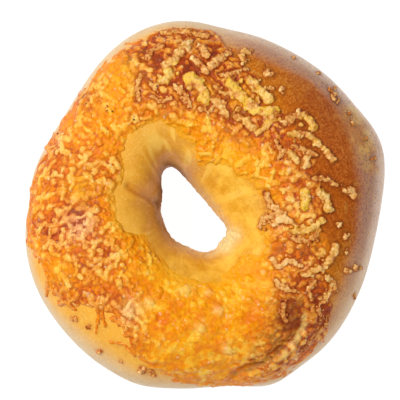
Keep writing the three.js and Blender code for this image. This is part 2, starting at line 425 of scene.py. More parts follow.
def edge_radius(edge, angle):
    """The edge's radius at any angle, along straight lines between its points."""
    at, radius = np.transpose(edge)
    return np.interp(angle, at, radius, period=360)


def inside_cheese(points):
    """How far each point lies inside the cheese's edges, in millimetres. It is negative outside."""
    x, y, z = points.T
    outer = edge_radius(OUTER_EDGE, np.degrees(np.arctan2(y, x))) - np.hypot(x, y)
    from_hole = points[:, :2] - HOLE_CENTRE
    reach = np.hypot(*from_hole.T)
    inner = reach - edge_radius(INNER_EDGE, np.degrees(np.arctan2(from_hole[:, 1], from_hole[:, 0])))
    return np.minimum(outer, inner) - np.maximum(CHEESE_FLOOR - z, 0)


front_and_right = on_crust([(0, -33), (50, 0)])
print("in front and at the right, inside by", inside_cheese(front_and_right).round(1), "mm")

# %% [markdown]
# ## Where the oven browned it
#
# Heat is never even. The far side and the right side of this bagel are the most toasted, and the
# near side stayed soft and yellow. A few soft round spots describe that better than any even
# noise: each has a place in plan, a radius and a strength.

# %% Maps of browning, and of bare pale cheese with its painted highlights
TOAST_SPOTS = [
    (-16, 42, 9, 0.9), (-6, 48, 10, 0.8), (4, 42, 10, 0.9), (12, 34, 9, 0.9), (22, 26, 9, 0.8),
    (-8, 34, 7, 0.7), (10, 24, 7, 0.5), (32, 14, 8, 0.75), (36, -2, 8, 0.75), (26, 4, 6, 0.4),
    (34, -14, 6, 0.6), (24, -14, 6, 0.6), (32, -24, 7, 0.9), (26, -34, 8, 1.0), (39, -33, 6, 0.9),
    (-38, -2, 7, 0.65), (-46, -8, 7, 0.5), (-34, -15, 8, 0.6), (-42, -28, 9, 0.65), (-26, -30, 8, 0.65),
    (-22, -42, 6, 0.5), (-34, 14, 6, 0.35), (22, -46, 7, 0.9), (32, -42, 5, 0.9), (-48, 14, 6, 0.4),
    (-22, 47, 5, 0.45), (-36, 35, 6, 0.35), (-20, 26, 6, 0.35), (6, -46, 9, 0.2),
    (-40, 26, 14, 0.25), (-44, 6, 10, 0.3), (-28, 8, 10, 0.2), (-52, -8, 6, 0.3),
]
SOFT_SPOTS = [
    (-2, -40, 17, 1.0), (-12, -25, 10, 0.8), (13, -32, 11, 0.8), (-2, -23, 10, 0.8), (-40, 24, 6, 0.3),
    (-30, 38, 7, 0.4), (8, 18, 6, 0.4),
]
# Pale spots: the first three are painted highlights where the key light catches the slopes, the rest pale
# cheese.
PALE_AND_HIGHLIGHT_SPOTS = [
    (-39, -6.5, 4.5, 1.0), (-23.5, -33.5, 3.4, 1.0), (24, -5, 3.4, 0.8), (-46, 20, 2.5, 0.6),
    (4.4, -33.3, 1.7, 0.9), (1.2, -27.6, 1.4, 0.8), (-6.1, -27, 2.4, 0.7), (-1.4, -38.4, 2.2, 0.7),
    (6.9, -45.4, 2.4, 0.7), (-17.2, -30.8, 1.7, 0.7),
]
YELLOW_SPOTS = [
    (10, -22, 11, 1.0), (-10, -22, 8, 0.8), (-24, 42, 5, 0.8), (-30, 32, 9, 0.3), (0, 36, 3, 1.0),
    (12, 33, 4, 1.0), (10, 15, 6, 0.9), (-8, 23, 5, 0.5), (-44, -22, 5, 0.7), (34, -10, 4, 0.8),
    (-4, -44, 8, 0.5), (-38, 10, 5, 0.4), (32, 25, 2, 1.0), (-39.3, 4, 3.4, 1.0),
]
print(len(TOAST_SPOTS), "toasted,", len(SOFT_SPOTS), "soft and", len(YELLOW_SPOTS), "yellow places")

# %% [markdown]
# ## Toasted shreds
#
# The largest shreds of cheese kept their shape: they shrank into bent, knobby strands and toasted
# where they lay. Each is roughed out from a chain of overlapping lumps, uneven icospheres along a
# route. A voxel remesh then fuses the chain into one skin, a smoothing softens it, as heat does, and
# a noise pits it. A swept tube would be quicker, but it looks like a noodle, without knobs or blunt
# ends. The crumbs are clusters of a few such lumps, and the burnt specks are one small lump each.

# %% Routes of the shreds
# Each shred: width, tone from 0 dark to 1 pale, yellowness, and its route in plan.
SHREDS = [
    (3.0, 0.8, 0.1, [(-5, 50.5), (-8.5, 46.5), (-12, 43.5)]),
    (2.6, 0.8, 0.0, [(-1.5, 49), (1, 46)]),
    (2.4, 0.8, 0.0, [(8, 47), (3.5, 45), (2, 42.5)]),
    (2.2, 0.8, 0.1, [(14, 48), (11.5, 47), (12.5, 45)]),
    (1.6, 0.6, 0.0, [(13.5, 42.5), (10, 41.5), (5, 40.5)]),
    (3.7, 0.9, 0.9, [(-5, 40), (-2.5, 37.5), (0, 34)]),
    (2.8, 0.9, 0.6, [(-12, 43.5), (-11, 41), (-13.5, 38)]),
    (3.2, 0.8, 0.8, [(8, 39), (10, 35), (14, 31.5), (17.5, 29), (21.5, 29.5)]),
    (3.2, 0.9, 0.5, [(14, 39), (17.5, 35.5), (20, 33)]),
    (2.2, 0.7, 0.1, [(-13, 53.5), (-6.5, 54), (0.5, 52.5)]),
    (2.0, 0.6, 0.0, [(-4, 45.5), (-1, 43.5), (0.5, 41.5)]),
    (2.1, 0.6, 0.0, [(-9, 37), (-6, 34), (-4.5, 30.5)]),
    (2.2, 0.7, 0.1, [(3, 33), (5.5, 30.5), (7, 27.5)]),
    (1.8, 0.5, 0.0, [(-18, 45.5), (-15.5, 48.5), (-13, 49.5)]),
    (2.5, 0.7, 0.2, [(10, 28), (13, 26), (15.5, 23.5)]),
    (2.1, 0.6, 0.3, [(21.5, 27), (19.5, 24.5), (16.5, 22.5)]),
    (2.4, 0.6, 0.0, [(24.5, 24.5), (27, 27), (29.5, 28.5)]),
    (2.5, 0.8, 0.5, [(31, 28), (33, 26), (34, 24)]),
    (2.1, 0.7, 0.3, [(27, 22), (31, 22), (34, 20.5), (36.5, 18), (38.5, 16)]),
    (2.8, 0.8, 0.1, [(39, 15.5), (40, 14.5)]),
    (1.6, 0.4, 0.0, [(27, 18.5), (30.5, 17.5), (35, 15.5)]),
    (2.8, 0.9, 0.3, [(27, 15.5), (29, 14)]),
    (2.8, 0.9, 0.1, [(31.5, 14), (32, 12)]),
    (1.8, 0.5, 0.0, [(33.5, 8.5), (38, 8), (41, 6)]),
    (2.6, 0.8, 0.3, [(35.5, 4.5), (38, 2), (38.5, -1.5)]),
    (2.5, 0.8, 0.9, [(31, 4.5), (32, 2), (31, -0.5)]),
    (2.2, 0.7, 0.0, [(19.5, 3.5), (21, 0), (24, -2.5)]),
    (1.8, 0.7, 0.0, [(17.5, -7), (18.5, -4.5), (22, -3)]),
    (3.0, 1.0, 0.0, [(22.5, -4.5), (26, -5)]),
    (2.4, 0.8, 0.4, [(28, -8.5), (33.5, -7.5), (36.5, -5)]),
    (2.0, 0.5, 0.0, [(27.5, -10.5), (32, -11.5), (35, -9.5)]),
    (2.4, 0.8, 0.2, [(41, -13), (39.5, -16.5), (36.5, -19.5), (31.5, -22)]),
    (2.1, 0.8, 0.1, [(38, -22.5), (40.5, -25.5), (38.5, -28), (36.5, -30.5)]),
    (1.8, 0.8, 0.0, [(21.5, -17), (23.5, -19.5), (26.5, -17.5), (30.5, -19.5)]),
    (1.8, 0.6, 0.0, [(22.5, -24), (25.5, -26.5), (28.5, -27)]),
    (1.7, 0.4, 0.0, [(35.5, -32), (36, -36), (33.5, -41), (30.5, -45.5)]),
    (1.8, 0.2, 0.0, [(25.5, -30.5), (24, -33.5), (25.5, -36.5)]),
    (1.7, 0.5, 0.0, [(-20, 40.5), (-20.8, 36.5), (-20.4, 32.5)]),
    (1.5, 0.5, 0.0, [(-16.5, 34), (-13.5, 32.5), (-10.5, 33.5)]),
    (1.7, 0.5, 0.1, [(3, 37), (6, 34.8), (8.5, 35.5)]),
    (1.5, 0.6, 0.0, [(-17.5, 38.5), (-15, 36)]),
    (1.6, 0.5, 0.0, [(-1.5, 30), (1.5, 29.5), (3, 31)]),
    (1.6, 0.6, 0.1, [(18, 36), (21.5, 36.5)]),
    (1.7, 0.5, 0.0, [(22, 20), (24, 17.5), (23.5, 14.5)]),
    (1.6, 0.5, 0.0, [(34.5, -23.5), (32.5, -26.5), (33.5, -29.5)]),
    (1.5, 0.4, 0.0, [(38.5, -34.5), (38, -38)]),
]
print(len(SHREDS), "shreds, the widest", max(shred[0] for shred in SHREDS), "mm")

# %% A chain of lumps for each shred
LAYER_THICKNESS = 0.5
LUMP_STEP = 0.3
KNOB_SHARE = 0.7
KNOB_REACH = 0.4
ROUTE_WANDER = 0.07
SHRED_LIFT = 0.07


def on_cheese(places, lift):
    """The outside over each place in plan, crust or melted cheese, raised by lift."""
    crust_there = on_crust(places)
    covered = smooth_step(-1, 3, inside_cheese(crust_there))
    return on_crust(places, LAYER_THICKNESS * covered + lift)


def chain(width, tone, yellow, corners):
    """Lumps along a shred and knobs at its sides: each a centre, size, tone and yellowness."""
    route = smooth_route(corners, LUMP_STEP * width)
    knobs = route[rng.random(len(route)) < KNOB_SHARE]
    places = np.vstack([route, knobs])
    shares = np.concatenate([rng.uniform(0.75, 1.2, len(route)), rng.uniform(0.4, 0.8, len(knobs))])
    reach = np.repeat([ROUTE_WANDER, KNOB_REACH], [len(route), len(knobs)])
    places = places + width * reach[:, None] * rng.normal(0, 1, places.shape)
    tones = np.clip(tone + rng.normal(0, 0.16, len(places)), 0, 1)
    centres = on_cheese(places, SHRED_LIFT * width)
    return np.column_stack([centres, width * shares, tones, np.full(len(places), yellow)])


lumps = np.vstack([chain(*shred) for shred in SHREDS])
print(len(lumps), "lumps make up the shreds")

# %% Crumbs and burnt specks
# Loose crumbs on bare crust, each (x, y, size).
CRUMBS = [
    (45.3, 5.5, 3.2), (42.3, -5.9, 1.7), (44, -10, 2.0), (44.3, -14.8, 1.3), (44.7, -20.5, 1.9),
    (47.8, -20.2, 2.1), (24, 36, 2.0), (20.5, 41.5, 2.4), (28, 46.5, 1.4), (39.8, 36.3, 1.9),
    (40.5, 34.2, 1.7), (42.3, 32.8, 1.5), (41.3, 36.6, 1.2), (45.6, 28.6, 1.5), (46.7, 25.4, 1.3),
    (51, 20.8, 1.2), (53.2, 14.8, 1.2), (47.5, -29, 1.4), (-41, -36, 1.7), (-36.5, -38.5, 1.3),
    (-33, -46.5, 1.6), (-20, -51.8, 2.2), (-16.5, -52.6, 1.8), (-26, -49.5, 1.2), (36, 41.5, 1.3),
]
# Burnt specks from the oven, on the cheese, each (x, y).
SPECKS = [
    (-30, 30.7), (-30, 29.4), (-28.4, 29.1), (-22.1, 26.8), (-45.6, 21.8), (-30.3, 22.4),
    (-36.4, 31.3), (18.9, 43.4), (-14.8, 37),
]
CRUMB_LUMPS = 4
CRUMB_SPREAD = 0.24
CRUMB_LIFT = 0.1
PALE_CRUMB = 0.95
RUST_CRUMB = 0.8
SPECK_SIZE = 0.7
SPECK_LIFT = 0.9


def crumb(x, y, size):
    """A few lumps thrown together, so that a crumb has corners and dents."""
    places = [x, y] + CRUMB_SPREAD * size * rng.normal(0, 1, (CRUMB_LUMPS, 2))
    shares = rng.uniform(0.6, 1.05, CRUMB_LUMPS)
    tone = PALE_CRUMB if x > 0 else RUST_CRUMB
    tones = np.clip(tone + rng.normal(0, 0.15, CRUMB_LUMPS), 0, 1)
    centres = on_cheese(places, CRUMB_LIFT * size)
    return np.column_stack([centres, size * shares, tones, np.zeros(CRUMB_LUMPS)])


crumbs = np.vstack([crumb(*row) for row in CRUMBS])
speck_centres = on_cheese(SPECKS, SPECK_LIFT)
specks = np.column_stack([speck_centres, np.tile([SPECK_SIZE, 1, 0], (len(SPECKS), 1))])
print(len(CRUMBS), "crumbs of", CRUMB_LUMPS, "lumps and", len(specks), "specks")


# %% One lump
LUMP_FLATNESS = 0.6
LUMP_BULGE = 0.7


def lump(centre, size):
    """One knob of cheese: an icosphere that a noise pushes out of round."""
    bm = bmesh.new()
    bmesh.ops.create_icosphere(bm, subdivisions=2, radius=size / 2)
    start = Vector(centre)
    for vert in bm.verts:
        bulge = 1 + LUMP_BULGE * noise.noise(vert.co / (size / 2) + 3 * start)
        flat = Vector((vert.co.x, vert.co.y, vert.co.z * LUMP_FLATNESS))
        vert.co = start + flat * bulge
    return bm


sample = lump((0, 0, 0), 2.0)
print("a lump has", len(sample.faces), "faces and is", round(2 * LUMP_FLATNESS, 1), "mm high")
sample.free()


# %% Lumps into one fused skin
VOXEL = 0.24
SPECK_VOXEL = 0.2
SOFTENING = 5


def rough_mesh(name, rows):
    """All lumps side by side in one mesh, in millimetres, still crossing each other."""
    joined = bmesh.new()
    mesh = bpy.data.meshes.new(name)
    for row in rows:
        bm = lump(row[:3], row[3])
        bm.to_mesh(mesh)
        bm.free()
        joined.from_mesh(mesh)
    joined.to_mesh(mesh)
    joined.free()
    return mesh


def fused(name, rows, voxel):
    """The lumps as one skin: a voxel remesh joins them and a smoothing evens out its steps."""
    rough = bpy.data.objects.new(name + "_rough", rough_mesh(name + "_rough", rows))
    bpy.context.scene.collection.objects.link(rough)
    remesh = rough.modifiers.new("fuse", "REMESH")
    remesh.mode = "VOXEL"
    remesh.voxel_size = voxel
    soften = rough.modifiers.new("soften", "SMOOTH")
    soften.iterations = SOFTENING
    view = bpy.context.evaluated_depsgraph_get()
    mesh = bpy.data.meshes.new_from_object(rough.evaluated_get(view))
    mesh.name = name
    bpy.data.objects.remove(rough)
    return mesh


print("voxels of", VOXEL, "mm, and", SOFTENING, "rounds of smoothing")


# %% Tones of the fused lumps
PITTING = 0.22
PIT_SIZE = 0.8


def row_tree(rows):
    """A KD tree over the centres of the lumps, for finding the nearest one."""
    tree = KDTree(len(rows))
    for i, row in enumerate(rows):
        tree.insert(row[:3], i)
    tree.balance()
    return tree


def corners_of(mesh):
    flat = np.empty(len(mesh.vertices) * 3, np.float32)
    mesh.vertices.foreach_get("co", flat)
    return flat.reshape(-1, 3).astype(float)


def lump_piece(name, rows, voxel=VOXEL):
    """The fused piece, with each corner's height on its lump, its tone and its yellowness."""
    mesh = fused(name, rows, voxel)
    points = corners_of(mesh)
    points += PITTING * np.array([noise.noise_vector(Vector(p) / PIT_SIZE) for p in points])
    tree = row_tree(rows)
    nearest = rows[[tree.find(point)[1] for point in points]]
    height = np.clip((points[:, 2] - nearest[:, 2]) / nearest[:, 3] / LUMP_FLATNESS + 0.5, 0, 1)
    return finished(mesh, points, height=height, tone=nearest[:, 4], yellow=nearest[:, 5])


cheese_shreds = lump_piece("cheese_shreds", lumps)
cheese_crumbs = lump_piece("cheese_crumbs", crumbs)
burnt_specks = lump_piece("burnt_specks", specks, SPECK_VOXEL)


# %% How near a shred is
def gap_to_lumps(points, rows):
    """Distance from each point to the nearest lump's side, in millimetres."""
    tree = row_tree(rows)
    gaps = np.empty(len(points))
    for i, point in enumerate(points):
        _, at, away = tree.find(point)
        gaps[i] = away - rows[at, 3] / 2
    return gaps


all_lumps = np.vstack([lumps, crumbs])
print("gap from the crown at the back:", gap_to_lumps(on_crust([(0, 33)]), all_lumps).round(1)[0], "mm")

# %% [markdown]
# ## Bits of cheese in the layer
#
# Between the shreds the cheese has melted into a skin of soft domes, a millimetre or two across,
# that run together. Modelling thousands of them as objects would be slow to fuse, so each is laid
# into a height field instead: it lifts the corners of the layer near it with a round profile. Where
# domes meet, the higher one wins, which leaves a crease. The field also keeps each dome's tone, how
# near its top a corner is, and a line round its foot, brown from toasting and darker as painted
# shade in the crease.

# %% A shift that makes domes uneven
WARPS = [(3.0, 0.6), (1.1, 0.2)]


def shifted(points):
    """The points, each moved by a smooth noise of two sizes, so that no dome is quite round."""
    moved = points.copy()
    for size, amount in WARPS:
        moved += amount * np.array([noise.noise_vector(Vector(p) / size) for p in points])
    return moved


shifts = np.linalg.norm(shifted(crown_line) - crown_line, axis=1)
print("along the crown the noise moves domes by up to", shifts.max().round(2), "mm")


# %% A height field of domes
LINE_WIDTH = 0.45


class Field:
    """Heights, domes, tones and foot lines, brown and painted as shade, at the corners of the melted layer.
    """

    def __init__(self, points):
        self.rise = np.zeros(len(points))
        self.dome = np.zeros(len(points))
        self.tone = np.full(len(points), 0.5)
        self.line = np.zeros(len(points))
        self.places = shifted(points)
        self.tree = KDTree(len(points))
        for i, place in enumerate(self.places):
            self.tree.insert(place, i)
        self.tree.balance()

    def lay(self, route, radius, height, tone, line_strength):
        """Lays one bit along a route of points on the crust."""
        middle = route.mean(axis=0)
        reach = np.linalg.norm(route - middle, axis=1).max() + radius + LINE_WIDTH
        index = np.array([at for _, at, _ in self.tree.find_range(middle, reach)], int)
        if len(index) == 0:
            return
        away = np.linalg.norm(self.places[index, None] - route, axis=2).min(axis=1)
        share = np.maximum(1 - (away / radius) ** 2, 0)
        rise = height * share**0.6
        higher = rise > self.rise[index]
        self.rise[index[higher]] = rise[higher]
        self.dome[index[higher]] = share[higher]
        self.tone[index[higher]] = tone
        # The line round the foot: brown from toasting, and painted shade in the crease.
        line = line_strength * np.maximum(1 - np.abs(away - radius) / LINE_WIDTH, 0)
        self.line[index] = np.maximum(self.line[index], line)


sample_field = Field(crown_line)
sample_field.lay(crown_line[:1], 2.0, 1.0, 0.5, 1.0)
print("a dome 1 mm high lifts the crown line by", sample_field.rise.max().round(2), "mm")


# %% Places and shapes of the bits
FIELD_STEP = 0.5
# Adding these again and again, with whole turns dropped, spreads places evenly over a square.
EVEN_STEPS = [0.7548776662, 0.5698402910]
SQUARE_HALF = RIM_RADIUS + 4


def bent_bit(middle, length, heading, bend):
    """The plan of a bit: an arc of that length round its middle, turned by bend from end to end."""
    steps = max(1, round(length / FIELD_STEP))
    along = np.arange(steps + 1) / steps - 0.5
    move = from_angle(length / steps, heading + bend * along)
    route = np.cumsum(move, axis=0)
    return middle + route - route.mean(axis=0)


def scatter(count, shift):
    """That many places in plan, spread evenly over a square that holds the ring."""
    number = np.arange(count)[:, None]
    return SQUARE_HALF * ((shift + number * EVEN_STEPS) % 1 * 2 - 1)


print("3000 tries lie about", round(2 * SQUARE_HALF / math.sqrt(3000), 1), "mm apart")

# %% Kinds of bits, melted strands and large domes
# Each kind of bit: tries, and its ranges of length, radius, height and tone.
BIT_KINDS = [
    (650, (2.0, 6.0), (0.75, 1.15), (0.4, 0.75), (0.3, 1.0)),
    (2100, (0.0, 1.5), (0.75, 1.5), (0.35, 0.75), (0.1, 1.0)),
    (3000, (0.0, 0.6), (0.4, 0.7), (0.25, 0.45), (0.0, 0.9)),
]
# Strands that melted in but still show, each with a radius, a tone and a route in plan.
MELTED_STRANDS = [
    (0.7, 0.8, [(-44, -5.6), (-42, -4.3), (-38.5, -4), (-36, -3)]),
    (0.8, 0.9, [(-35.7, -3.3), (-36.4, -5.6), (-35.6, -8)]),
    (0.6, 0.8, [(-37.5, -8), (-38.4, -9.6), (-37, -11.5), (-34.2, -12)]),
    (0.6, 0.7, [(-42.7, -10.6), (-41, -9.2), (-38, -10.6)]),
    (1.2, 0.8, [(-31.9, -8.7), (-30, -6.2), (-27.2, -6.8), (-26.5, -10.6)]),
    (1.3, 0.85, [(-26.5, 43.7), (-24.3, 41.5), (-22.4, 39.6)]),
    (1.0, 1.0, [(-33.8, 27.8), (-31.9, 24.6), (-30, 21.8)]),
    (1.2, 0.8, [(-35.1, 38.3), (-31.3, 34.5), (-27.5, 31.9)]),
    (0.8, 1.0, [(-24.9, -32.9), (-22.4, -29.7), (-19.5, -27.2)]),
    (1.3, 1.0, [(-26.2, -33.5), (-22.4, -35.4)]),
    (0.9, 0.7, [(-50.4, -18.9), (-49.1, -23.3), (-50, -28.4)]),
    (1.0, 0.85, [(-46.5, -20.8), (-43.4, -22.7), (-42.1, -25.3)]),
    (0.8, 0.6, [(-29.4, -36.1), (-26.2, -37.3), (-24, -40.5)]),
    (0.8, 0.6, [(-29.4, -43.4), (-25.6, -44.3), (-22.1, -46.9)]),
    (0.9, 0.7, [(-45.9, -31.6), (-43.4, -30.3), (-40.8, -32.9)]),
    (0.7, 0.35, [(-33.6, -30), (-33.2, -35.5), (-34.4, -40.5)]),
    (0.6, 0.4, [(-31.6, -31), (-31.9, -35), (-31.2, -38)]),
]
MELTED_HEIGHT = 0.65
# The largest soft domes, each (x, y, radius, tone).
DOMES = [
    (-29.8, 6.5, 2.0, 0.85), (-41.2, 10.7, 1.4, 0.85), (-38.7, 8.1, 1.3, 0.8), (-48.2, -0.8, 1.6, 0.8),
    (-44.7, -2.7, 1.4, 0.8), (-34.5, -1.6, 1.7, 0.9), (-30.7, -12.2, 1.5, 0.85), (-42.5, -16.7, 1.6, 0.85),
    (-47.9, -14.1, 1.5, 0.8), (-32.9, -21.1, 1.5, 0.85), (-26.6, -24.9, 1.6, 0.85), (-37.4, -20.5, 1.3, 0.8),
    (-44, 5, 1.2, 0.8), (-35.8, 11.6, 1.4, 0.85), (-27.4, -7.2, 1.4, 0.9), (-31, 16, 1.5, 0.8),
    (4.4, -33.3, 1.7, 0.9), (1.2, -27.6, 1.3, 0.9), (-6.1, -27, 2.0, 0.8), (-1.4, -38.4, 1.9, 0.8),
    (6.9, -45.4, 2.0, 0.8), (-17.2, -30.8, 1.6, 0.8), (-14, -27, 1.2, 0.8), (14, -30, 1.4, 0.9),
    (-4.6, 25.5, 1.8, 0.9), (-9.7, 31.6, 1.4, 0.9), (-16.7, 30.9, 1.6, 0.9), (12.5, 27, 1.4, 0.8),
    (-13, 36, 1.3, 0.9), (-17, 42, 1.2, 0.9), (-9, 50.5, 1.3, 0.8), (4, 41, 1.3, 0.8),
    (-10, 28, 1.3, 0.9), (-21.5, 44.5, 1.4, 0.85), (20, 13, 1.5, 0.9), (24, 10, 1.4, 0.9),
    (28, 8, 1.4, 0.8), (25, 0, 1.3, 0.8), (27, -14, 1.4, 0.8), (29, -29.5, 1.3, 0.7),
]
DOME_HEIGHT = 0.8
print(sum(row[0] for row in BIT_KINDS), "tries,", len(MELTED_STRANDS), "strands,", len(DOMES), "domes")

# %% Sizes of the bits
THIN_RIM = 5


def clumping(points):
    """Above 0 where bits crowd together, and below it in the smooth pools between them."""
    return 1.2 * grain(points, 5.5, 31) + 0.5 * grain(points, 3, 32)


def bit_sizes(ranges, draws, toast, soft, crowd, inside):
    """Length, radius, height and tone of each bit, by what the cheese under it is like."""
    low, high = np.transpose(ranges)
    length, radius, height, tone = (low + (high - low) * draws).T
    length = length * (1 - 0.8 * soft)
    height = height * (1 - 0.5 * soft) * (0.3 + 0.7 * smooth_step(-2, THIN_RIM, inside))
    tone = (tone + 0.5 * crowd) * (1 - 0.5 * smooth_step(0.35, 1, toast))
    return length, radius, height, tone


print("bits crowd along", (clumping(crown_line) > 0).mean().round(2), "of the crown")


# %% Laying the bits
STRAY_REACH = 5
STRAYS_BEYOND = 40
STRAYS_ABOVE = (22, 28)
CHEESE_MARGIN = 0.3


def lay_kind(field, shift, tries, *ranges):
    """Scatters one kind of bit over the cheese, and a few strays just outside it."""
    places = scatter(tries, shift)
    places = places[np.hypot(*(places - HOLE_CENTRE).T) > HOLE_RADIUS]
    places = places[np.hypot(*places.T) < RIM_RADIUS + 2]
    surface = on_crust(places)
    draws = rng.random((len(places), 8))
    heading, bend, keep, luck = draws[:, 4:].T
    outer = (np.hypot(*places.T) > STRAYS_BEYOND) * smooth_step(*STRAYS_ABOVE, surface[:, 2])
    inside = inside_cheese(surface)
    toast = np.clip(spots(surface, TOAST_SPOTS), 0, 1)
    soft = np.clip(spots(surface, SOFT_SPOTS), 0, 1)
    crowd = clumping(surface)
    length, radius, height, tone = bit_sizes(ranges, draws[:, :4], toast, soft, crowd, inside)
    on_layer = inside > CHEESE_MARGIN - STRAY_REACH * luck**3 * outer
    chosen = np.flatnonzero(on_layer & (keep > 0.15 * toast - 1.5 * crowd))
    plans = [bent_bit(places[i], length[i], 360 * heading[i], 200 * (bend[i] - 0.5)) for i in chosen]
    ends = np.cumsum([len(plan) for plan in plans])
    for i, route in zip(chosen, np.split(on_crust(np.vstack(plans)), ends[:-1])):
        field.lay(route, radius[i], height[i], tone[i], 0.15 + 0.85 * bend[i] ** 1.3)
    return len(chosen)


def lay_strands(field):
    """Lays each melted strand as a row of knobs, and then the large domes."""
    for radius, tone, corners in MELTED_STRANDS:
        for knob in on_crust(smooth_route(corners, 0.8 * radius)):
            size, paler = rng.uniform(0.65, 1.2), rng.normal(0, 0.15)
            field.lay(knob[None], radius * size, MELTED_HEIGHT * size, tone + paler, 1.0)
    for x, y, radius, tone in DOMES:
        field.lay(on_crust([(x, y)]), radius, DOME_HEIGHT, tone, 1.0)


print("strays lie up to", STRAY_REACH, "mm outside the cheese")

# %% [markdown]
# ## The melted layer
#
# The layer is a second closed ring, just inside the crust's surface. Where there is cheese it
# stands above the crust by its own thickness plus the bits in it, and elsewhere it stays hidden
# inside. The two surfaces then meet in an edge, as melted cheese does on a crust, which one surface
# with two colours couldn't show. Along the join the layer has torn: bare dough shows as a pale
# streak with a dark cleft beside it, and the cheese round them is drawn into fine wrinkles.

# %% The torn join
STREAK = [(32, -32), (31, -37.5), (28.5, -42.5), (25.5, -46.5), (23, -49)]
STREAK_WIDTH = 3.2
CLEFT = [(26.5, -42), (23.5, -45.5), (20, -48.5), (14, -51.5), (6, -53.5)]
CLEFT_WIDTH = 2.2
WRINKLE_REACH = 6
WRINKLE_STEP = 1.6
DARK_SPOTS = [(26.5, -34, 3.6, 1.0), (26, -38, 3, 0.8), (28.5, -30.5, 2, 0.6), (16, -49, 3, 0.4)]


def torn_join(points):
    """Each point's share of the bare streak and of the cleft, and the wrinkles beside them."""
    moved = points + 1.1 * grain(points, 2.2, 12)[:, None]
    streak = np.clip(1.5 * beside_line(moved, STREAK, STREAK_WIDTH), 0, 1)
    cleft = beside_line(moved, CLEFT, CLEFT_WIDTH) * np.clip(0.7 + grain(points, 2, 13), 0, 1)
    streak *= np.clip(0.75 + 1.6 * grain(points, 1.6, 14), 0, 1)
    away, fade = from_line(moved, STREAK[1:] + CLEFT[3:])
    ripples = np.sin(2 * np.pi * away / WRINKLE_STEP + 3 * grain(points, 5, 15))
    return streak * (1 - cleft), cleft, ripples * smooth_step(WRINKLE_REACH, 2, away) * fade


print("the join runs", round(sum(math.dist(a, b) for a, b in zip(STREAK, STREAK[1:]))), "mm")

# %% The layer's ring and its bits
SCATTER_SHIFT = 0.37

layer_mesh, angle, section, plain, facing = plain_ring("melted_cheese", 560, 176, 0.93, 158)
waved = plain + facing * dough_wave(plain, section)[:, None]
dough = waved + facing * join_relief(plain)[:, None]
field = Field(waved)
laid = [lay_kind(field, SCATTER_SHIFT * number, *row) for number, row in enumerate(BIT_KINDS)]
lay_strands(field)
print("laid", laid, "bits, which stand up to", field.rise.max().round(2), "mm")

# %% How thick the layer is
HIDDEN_DEPTH = 0.5
EDGE_WIDTH = 3
WRINKLE_HEIGHT = 0.16
CLEFT_DEPTH = 0.4
LAYER_LOWEST = 0.3

fray = 1.8 * grain(dough, 5, 1) + 1.0 * grain(dough, 1.8, 2)
depth_inside = inside_cheese(dough) + fray
streak, cleft, wrinkles = torn_join(dough)
clear = 1 - 0.85 * smooth_step(0.8, 0.0, gap_to_lumps(dough, all_lumps))
hole_side = smooth_step(88, 102, section)
rise = field.rise * clear * (1 - 0.8 * np.maximum(streak, cleft))
rise *= 1 - 0.6 * hole_side * smooth_step(3, 0, depth_inside)
film = smooth_step(-0.5, 0.5, depth_inside / (EDGE_WIDTH * (1 + 2 * hole_side)))
cover = np.maximum(film, smooth_step(0.02, 0.25, rise))
toasted = np.clip(spots(dough, TOAST_SPOTS), 0, 1)
pools = smooth_step(-0.05, -0.4, clumping(dough)) * (1 - toasted)
softened = np.clip(spots(dough, SOFT_SPOTS) + 0.5 * pools, 0, 1)
low_lumps = (0.2 + 0.25 * softened) * grain(dough, 3.2, 3) + 0.06 * grain(dough, 1.1, 4)
lift = cover * (LAYER_THICKNESS * film + low_lumps + rise) - (1 - cover) * HIDDEN_DEPTH
lift += film * WRINKLE_HEIGHT * wrinkles - CLEFT_DEPTH * cleft
layer_points = dough + facing * lift[:, None]
layer_points[:, 2] = np.maximum(layer_points[:, 2], LAYER_LOWEST)
print("the layer stands", lift.max().round(2), "mm above the dough at most")

# %% What the layer's finish reads
outlined = 1 - 0.7 * hole_side * smooth_step(3, 0.5, depth_inside)
melted_cheese = finished(
    layer_mesh,
    layer_points,
    dome=field.dome * clear,
    tone=field.tone,
    # The foot line of each bit, brown and painted shade, and painted shade in the wrinkle troughs.
    line=np.maximum(field.line * outlined, smooth_step(0.0, -0.8, wrinkles)),
    ridge=smooth_step(0.1, 0.9, wrinkles),
    edge=smooth_step(2.2, -0.5, depth_inside) * (1 - hole_side),
    thin=smooth_step(4.5, 0.8, depth_inside) * hole_side,
    soft=softened,
    toast=toasted,
    # Pale spots: pale cheese, and painted highlights.
    pale=np.clip(spots(dough, PALE_AND_HIGHLIGHT_SPOTS), 0, 1),
    yellow=np.clip(spots(dough, YELLOW_SPOTS), 0, 1),
    dark=np.clip(spots(dough, DARK_SPOTS), 0, 1),
    # Painted shadow round each shred and crumb.
    halo=smooth_step(0.9, 0.0, gap_to_lumps(layer_points, all_lumps)),
    streak=streak,
    cleft=cleft,
)

# %% [markdown]
# ## The crust
#
# The crust is the same ring with the join in it. It is smooth to the touch but not flat: small
# blisters and shallow dents from proving catch the light, and the dough is creased where it turns
# into the hole. Its colour follows how far up the side it is, which side of the oven it faced, and
# how deep in the hole it lies, so each of these becomes an attribute for the material to read. Some
# of it is painted light and shade: a mauve sheen on the shoulder, shade on the hole's steep left
# side and round each shred, and light deep in the hole's throat.

# %% Crust relief
TORN_NUB = [(9.2, -9.6, 2.3, 1.0), (6.6, -13, 2.2, 1.0)]
FOLD_SCALE = 6
FOLD_HEIGHT = 0.22
FOLD_SPOTS = [(-9, 23, 11, 1.0), (-20, 12, 7, 0.4)]
DENT_DEPTH = 0.16
BLISTER_HEIGHT = 0.05
THROAT_LUMPS = 0.35

